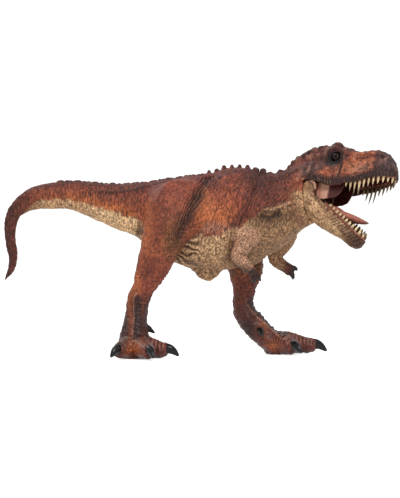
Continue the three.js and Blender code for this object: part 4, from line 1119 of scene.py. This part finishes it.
# Claws: over the toes' ends. Rows: beyond the toe, height, half width, half height.
CLAW_ROWS = [
    (-3, 7.2, 3.4, 3.9), (0, 7.3, 3.5, 4.0), (2.5, 6.9, 3.1, 3.5), (5, 5.6, 2.35, 2.75),
    (7.2, 3.8, 1.5, 1.75), (8.6, 2.5, 0.8, 0.9), (9, 2.1, 0.3, 0.3),
]
DEWCLAW_ROWS = [
    (2.6, -0.3, 2.7, 2.7), (4.5, -1.2, 2.4, 2.4), (6.5, -2.5, 1.6, 1.6), (8.2, -3.8, 0.9, 0.9),
    (9, -4.5, 0.3, 0.3),
]


def claw(root, heading, length, rows):
    """One claw, from a root of its toe along a heading in degrees."""
    turn = math.radians(heading)
    forward = np.array([math.cos(turn), math.sin(turn), 0])
    places = np.array(root) + np.outer(length + rows[:, 0], forward) + np.outer(rows[:, 1], [0, 0, 1])
    return horn(places, np.maximum(rows[:, 2:], 0.2), [-forward[1], forward[0], 0])


def claws(leg_name):
    root = (*FOOT_PLACES[leg_name], 0)
    toes = zip(TOE_HEADINGS[leg_name], TOE_LENGTHS)
    parts = [claw(root, heading, length, smooth_rows(CLAW_ROWS, 16)) for heading, length in toes]
    root, heading = DEWCLAWS[leg_name]
    points, faces = combined(parts + [claw(root, heading, 0, smooth_rows(DEWCLAW_ROWS, 12))])
    name = leg_name.replace("leg", "claws")
    return new_piece(name, points, faces, horn_finish, plain_coat(points, BLACKISH))


horn_finish = painted_material("black_horn", grain_size=1.4, grain_depth=0.03, roughness=(0.16, 0.3))
for leg_name in FOOT_PLACES:
    piece = claws(leg_name)
    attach(piece, "figure")


# Eyes: glossy, nearly black, with a dim ring
def eyeball(name, hand):
    ball = bmesh.new()
    bmesh.ops.create_uvsphere(ball, u_segments=32, v_segments=20, radius=EYE_RADIUS)
    made = np.array([corner.co for corner in ball.verts])
    faces = [[corner.index for corner in face.verts] for face in ball.faces]
    ball.free()
    gaze = np.array([0.25, hand, 0.05])
    gaze /= np.linalg.norm(gaze)
    turn = np.degrees(np.arccos(np.clip(made @ gaze / EYE_RADIUS, -1, 1)))
    paint = plain_coat(made, BLACKISH)
    paint += (EYE_RING - paint) * bell(turn, 40, 8)[:, None]
    places = out_of(head_turn, made + np.array(EYE_CENTRE) * np.array([1, hand, 1]))
    return new_piece(name, places, faces, eye_finish, paint)


eye_finish, tree, shader = new_material("eye_gloss")
rough = mapped(tree, lumps(tree, node(tree, "TexCoord").outputs["Object"], 0.7), 0.3, 0.7, 0.04, 0.12)
fill(shader, Base_Color=attribute(tree, "paint", "Color"), Roughness=rough, Specular_IOR_Level=0.12)
for name, hand in (("right_eye", -1), ("left_eye", 1)):
    piece = eyeball(name + "ball", hand)
    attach(piece, "figure")
    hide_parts(name)


# Teeth, at the places of the frame's own. Rows: share of the length, share of the radius.
TOOTH_ROWS = [(-1.0, 1.0), (0, 1.08), (0.25, 1.0), (0.55, 0.78), (0.85, 0.42), (1, 0.12)]
LENGTH_SHARES = (1, 0.94, 1, 0.9, 0.97)  # how much of its place a tooth fills, in turn
TOOTH_CORNERS = 10
SAME_TOOTH = 1.6  # mm between points of one tooth


def tooth_places(places, face, sense):
    """Middle and reach of each tooth of a row that stands out of a face of its strip."""
    groups = []
    for place in places[sense * (places[:, 2] - face) > 0.5]:
        same = [group for group in groups if np.hypot(*(np.mean(group, axis=0) - place)[:2]) < SAME_TOOTH]
        if same:
            same[0].append(place)
        else:
            groups.append([place])
    return [(np.mean(group, axis=0)[:2], np.max(sense * (np.array(group)[:, 2] - face))) for group in groups]


def tooth_row(name, turn, face, sense, radius, curve):
    """A gum strip with curved teeth, stained at their roots, with painted shade on each tooth's side that
    faces into the mouth.
    """
    cad_points, cad_faces = welded(name)
    places = into(turn, cad_points)
    strip = [corners for corners in cad_faces if (sense * (places[corners, 2] - face) < 0.2).all()]
    parts = [(places, strip)]
    paints = [plain_coat(places, ROSE * 0.55)]
    rows = smooth_rows(TOOTH_ROWS, 9)
    out_share = np.clip(rows[:, 0], 0, 1)
    stain_share = np.repeat(0.75 * fall(out_share, 0.0, 0.45), TOOTH_CORNERS)[:, None]
    for k, (middle, reach) in enumerate(tooth_places(places, face, sense)):
        reach *= LENGTH_SHARES[k % len(LENGTH_SHARES)]
        lean = curve * reach * out_share ** 1.7
        rise = np.where(rows[:, 0] < 0, rows[:, 0], rows[:, 0] * reach)
        across = middle[1] * (1 - 0.05 * lean / radius)
        path = np.stack([middle[0] - lean, across, face + sense * rise], axis=1)
        uneven = 1 + 0.12 * math.sin(2.3 * k)
        sizes = np.maximum(rows[:, [1, 1]] * radius * uneven * np.array([0.82, 1.0]), 0.08)
        points, faces = horn(path, sizes, [0, 1, 0], corners=TOOTH_CORNERS)
        parts.append((points, faces))
        paint = plain_coat(points, BONE)
        paint += (BROWN - paint) * stain_share
        # Painted shade: each tooth's side that faces into the mouth is darkened
        inner = (points[:, 1] - middle[1]) * np.sign(middle[1]) < -0.15 * radius
        paints.append(np.where(inner[:, None], paint * 0.3, paint))
    points, faces = combined(parts)
    return new_piece(name + "_row", out_of(turn, points), faces, tooth_finish, np.concatenate(paints))


# Name, frame, height of the strip's face above the hinge, sense, radius and curve of its teeth, body
for name, turn, face, sense, radius, curve, body_name in (
    ("upper_teeth", head_turn, 2.2, -1, 1.0, 0.14, "figure"),
    ("lower_teeth", jaw_turn, 0.3, 1, 1.25, 0.3, "jaw"),
):
    piece = tooth_row(name, turn, face, sense, radius, curve)
    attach(piece, body_name)
    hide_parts(name)


# Lower jaw, sculpted in its own frame
JAW_HALF = [
    (-4, 13.6), (8, 13.9), (13, 13.3), (21, 12.1), (27, 10.6), (34, 9.7), (45, 8.8), (51, 8), (55, 6.4),
    (58, 4), (59.5, 1.2),
]


def lower_jaw():
    jaw = remeshed([welded("lower_jaw")], "jaw")
    places = into(jaw_turn, jaw.points)
    hinge_part = fall(np.hypot(places[:, 0], places[:, 2]), 6.0, 8.5)
    jaw.smooth(rounds("jaw", 14), 0.4 * (1 - hinge_part) * (1 - 0.7 * ramp(places[:, 2], -5, -2.5)))
    places = into(jaw_turn, jaw.points)
    along, _, rise = places.T
    from_middle = np.abs(places[:, 1])
    facing = into(jaw_turn, jaw.normals() + hinge_place)
    on_floor = (from_middle < read_off(JAW_HALF, along) - 1.9) & (facing[:, 2] > -0.3)
    on_wall = (facing[:, 1] * np.sign(places[:, 1]) < -0.3) & (along > 7)
    inside = jaw.softened((on_floor | on_wall).astype(float), 2)
    front = ramp(along, 16, 40)
    rim = ramp(rise, -4.6 - 4 * front, -3.4 - 3 * front)
    stripes = waves(along - 0.5 * rise + 1.1 * noise(places, 4.0, 36), 2.7)
    relief = -0.3 * wrinkles(places, (8.0, 4.0, 2.6), 31)
    relief += 0.25 * noise(places, 1.3, 32) + 0.25 * noise(places, 4.0, 33)
    relief += rim * (0.3 - 0.6 * stripes) * (0.2 + 0.5 * front)
    relief -= 0.9 * bell(rise, -3.6, 1.2) * bell(along, 13, 5)
    jaw.push(np.minimum(relief, 0.3) * (1 - inside) * (1 - hinge_part))
    edge = np.interp(along, (2, 9), (2.7, -1.8))
    over_edge = ramp(rise - edge, 0, 0.6) * ramp(into(head_turn, jaw.points)[:, 0], -3.5, -1.5)
    jaw.lay_rows((
        (CREAM, 1, np.ones(len(places))),
        (TAN, 1, 0.55 + 0.4 * noise(places, 6.0, 35)),
        (BROWN * 0.6, 0.95, ramp(along + 3 * noise(places, 5.0, 34), 42, 56)),
        (BROWN, 0.5, ramp(noise(places, 2.2, 37), 0.1, 0.6)),
        (DARK, 1, rim * front * (0.3 + 0.35 * stripes)),
        (BROWN, 0.55, rim * (1 - front)),
        (PINK, 1, hinge_part * over_edge * (1 - inside)),
        (DARK, 0.85, bell(rise, edge, 0.7) * fall(along, 11, 16)),
        (THROAT, 1, inside),
    ))
    jaw.speckle = 0.8 * (1 - inside)
    jaw.gloss = 0.4 * inside
    jaw.wash()
    return jaw.whole("lower_jaw_skin", jaw_finish)


# Tongue: a groove down its middle, folds across, and a darker tip
TONGUE_SPAN = (14, 52)


def tongue():
    flesh = remeshed([welded("tongue")], "tongue")
    flesh.smooth(rounds("tongue", 12), np.full(len(flesh.points), 0.4))
    places = into(jaw_turn, flesh.points)
    upper = ramp(into(jaw_turn, flesh.normals() + hinge_place)[:, 2], 0, 0.6)
    relief = -0.55 * bell(places[:, 1], 0, 0.9) * upper
    relief -= 0.3 * wrinkles(places, (2.2, 5.0, 5.0), 41)
    relief += 0.12 * noise(places, 1.0, 42)
    flesh.push(np.minimum(relief, 0.1))
    root, tip = TONGUE_SPAN
    flesh.lay_rows((
        (FLESH, 1, np.ones(len(places))),
        (ROSE * 0.5, 1, fall(places[:, 0], root, root + 12)),
        (GREY_BROWN, 0.8, ramp(places[:, 0], tip - 6, tip)),
        (ROSE * 0.6, 0.5, 1 - upper),
    ))
    flesh.gloss[:] = 0.5
    flesh.wash()
    return flesh.whole("tongue_flesh", mouth_finish)


# Mouth lining: ridged palate, dark throat and a web of skin in each corner of the mouth
THROAT_WALL = (6.1, 7.7)  # from, to
THROAT_LOW = -9.0
WEB_WALL = 0.8
WEB_TOP = 6.8
# Rows of a web: along the head, lowest point, outer face's distance from the middle
WEB_ROWS = [
    (3.6, -8, 9.5), (6.1, -9, 9.5), (9, -9.4, 9.5), (14, -9.5, 9.4), (17, -9.3, 8.9), (20, -8.6, 8.1),
    (23, -5.2, 7.4), (25.5, -0.5, 6.9),
]


def upright(along, first, second, low):
    """A ring round an upright sheet, between two places across the head."""
    return [(along, first, low), (along, first, WEB_TOP), (along, second, WEB_TOP), (along, second, low)]


def web(hand):
    """A thin upright sheet from the throat forwards; its front edge slants up to the palate."""
    rows = smooth_rows(WEB_ROWS, 19)
    return loft([upright(along, hand * out, hand * (out - WEB_WALL), low) for along, low, out in rows])


def throat_wall():
    half = WEB_ROWS[0][2] - WEB_WALL / 2
    return loft([upright(along, -half, half, THROAT_LOW) for along in THROAT_WALL])


def mouth_lining():
    cad_points, cad_faces = welded("mouth_lining")
    soft_parts = [(out_of(head_turn, points), faces) for points, faces in (web(-1), web(1), throat_wall())]
    lining = remeshed([(cad_points, cad_faces)] + soft_parts, "mouth")
    places = into(head_turn, lining.points)
    along, _, rise = places.T
    cheek = fall(rise, 4.5, 6) * ramp(np.abs(places[:, 1]), 6, 6.4)
    palate = 1 - cheek
    folds = waves(along - 0.03 * places[:, 1] ** 2, 3.2)
    lining.push(-0.3 * folds * palate * ramp(along, 14, 18))
    lining.push(-0.16 * wrinkles(places, (2.0, 5.0, 5.0), 51) * cheek)
    facing_out = into(head_turn, lining.normals() + hinge_place)[:, 1] * np.sign(places[:, 1])
    cheek_skin = cheek * ramp(facing_out, -0.2, 0.3) * fall(along - 0.15 * rise, 13.5, 15.5)
    lining.lay_rows((
        (THROAT, 1, np.ones(len(places))),
        (CHEEK_RED, 1, cheek),
        (ROSE * 0.5, 0.6, palate * ramp(along, 18, 30)),
        (PINK, 1, cheek_skin),
        (ROSE * 0.7, 0.5, cheek_skin * fall(along, 6.5, 9)),
    ))
    lining.gloss[:] = 0.3 * palate
    lining.wash()
    return lining.whole("mouth_skin", mouth_finish)


for make, name, body_name, slot in (
    (lower_jaw, "lower_jaw", "jaw", "cream_skin"),
    (tongue, "tongue", "jaw", "tongue_pink"),
    (mouth_lining, "mouth_lining", "figure", "mouth_skin"),
):
    piece = make()
    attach(piece, body_name)
    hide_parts(name)

# The pin keeps its solid, in drawn steel
steel, tree, shader = new_material("drawn_steel")
grain = lumps(tree, node(tree, "TexCoord").outputs["Object"], 0.3)
colour = tinted(tree, grain, rgba(DIM_STEEL), rgba(BRIGHT_STEEL))
fill(shader, Base_Color=colour, Roughness=mapped(tree, grain, 0.3, 0.7, 0.22, 0.4), Metallic=1.0)
for material_slot in nodes["jaw_pin"].material_slots:
    material_slot.material = steel


# Camera, floor and light
AIM = (-0.0003, 0, (GROUND_V - PICTURE[1] / 2) * PIXEL * MM / math.cos(VIEW_RISE))
WHITE = (1, 1, 1, 1)
FLOOR_GREY = (0.82, 0.82, 0.82, 1)
FLOOR_GLOW = 0.6
WORLD_LIGHT = 0.56
LAMPS = (  # name, place, size, power
    ("key_lamp", (0.35, -1.1, 1.25), 0.45, 14.0),
    ("rim_lamp", (-0.7, 0.6, 1.1), 0.6, 6.0),
)


def linked(name, data, place=(0, 0, 0)):
    """A new object in the scene; a lamp or a camera away from the middle looks at the figure."""
    made = bpy.data.objects.new(name, data)
    made.location = place
    if any(place):
        made.rotation_euler = (Vector(AIM) - made.location).to_track_quat("-Z", "Y").to_euler()
    bpy.context.scene.collection.objects.link(made)
    return made


def seen_directly(tree):
    """1 for rays that reach the camera at once or by a reflection."""
    rays = node(tree, "LightPath")
    return rays, math_of(tree, "MAXIMUM", rays.outputs["Is Camera Ray"], rays.outputs["Is Glossy Ray"])


def make_stage():
    camera = bpy.data.cameras.new("camera")
    camera.sensor_fit = "HORIZONTAL"
    camera.angle = 2 * math.atan(PICTURE[0] / 2 * PIXEL * MM / CAMERA_DISTANCE)
    viewer = Vector(AIM) + CAMERA_DISTANCE * Vector((0, -math.cos(VIEW_RISE), math.sin(VIEW_RISE)))
    bpy.context.scene.camera = linked("camera", camera, viewer)

    mesh = bpy.data.meshes.new("floor")
    reach = 4 * CAMERA_DISTANCE
    corners = [(-reach, -reach, 0), (reach, -reach, 0), (reach, reach, 0), (-reach, reach, 0)]
    mesh.from_pydata(corners, [], [(0, 1, 2, 3)])
    material, tree, shader = new_material("floor_white")
    fill(shader, Base_Color=FLOOR_GREY, Roughness=0.9)
    glow = node(tree, "Emission", Color=WHITE, Strength=FLOOR_GLOW)
    extra = node(tree, "MixShader", Fac=seen_directly(tree)[1], i2=glow.outputs[0])
    both = node(tree, "AddShader", i0=shader.outputs[0], i1=extra.outputs[0])
    fill(tree.nodes["Material Output"], Surface=both.outputs[0])
    mesh.materials.append(material)
    linked("floor", mesh)

    world = bpy.data.worlds.new("studio")
    bpy.context.scene.world = world
    world.use_nodes = True
    tree = world.node_tree
    rays, seen = seen_directly(tree)
    seen = math_of(tree, "MAXIMUM", seen, rays.outputs["Is Transmission Ray"])
    level = mapped(tree, seen, 0.0, 1.0, WORLD_LIGHT, 1.0)
    fill(tree.nodes["Background"], Color=WHITE, Strength=level)

    for name, place, size, power in LAMPS:
        light = bpy.data.lights.new(name, "AREA")
        light.size = size
        light.energy = power
        linked(name, light, place)
    bpy.context.scene.view_settings.view_transform = "Standard"


make_stage()
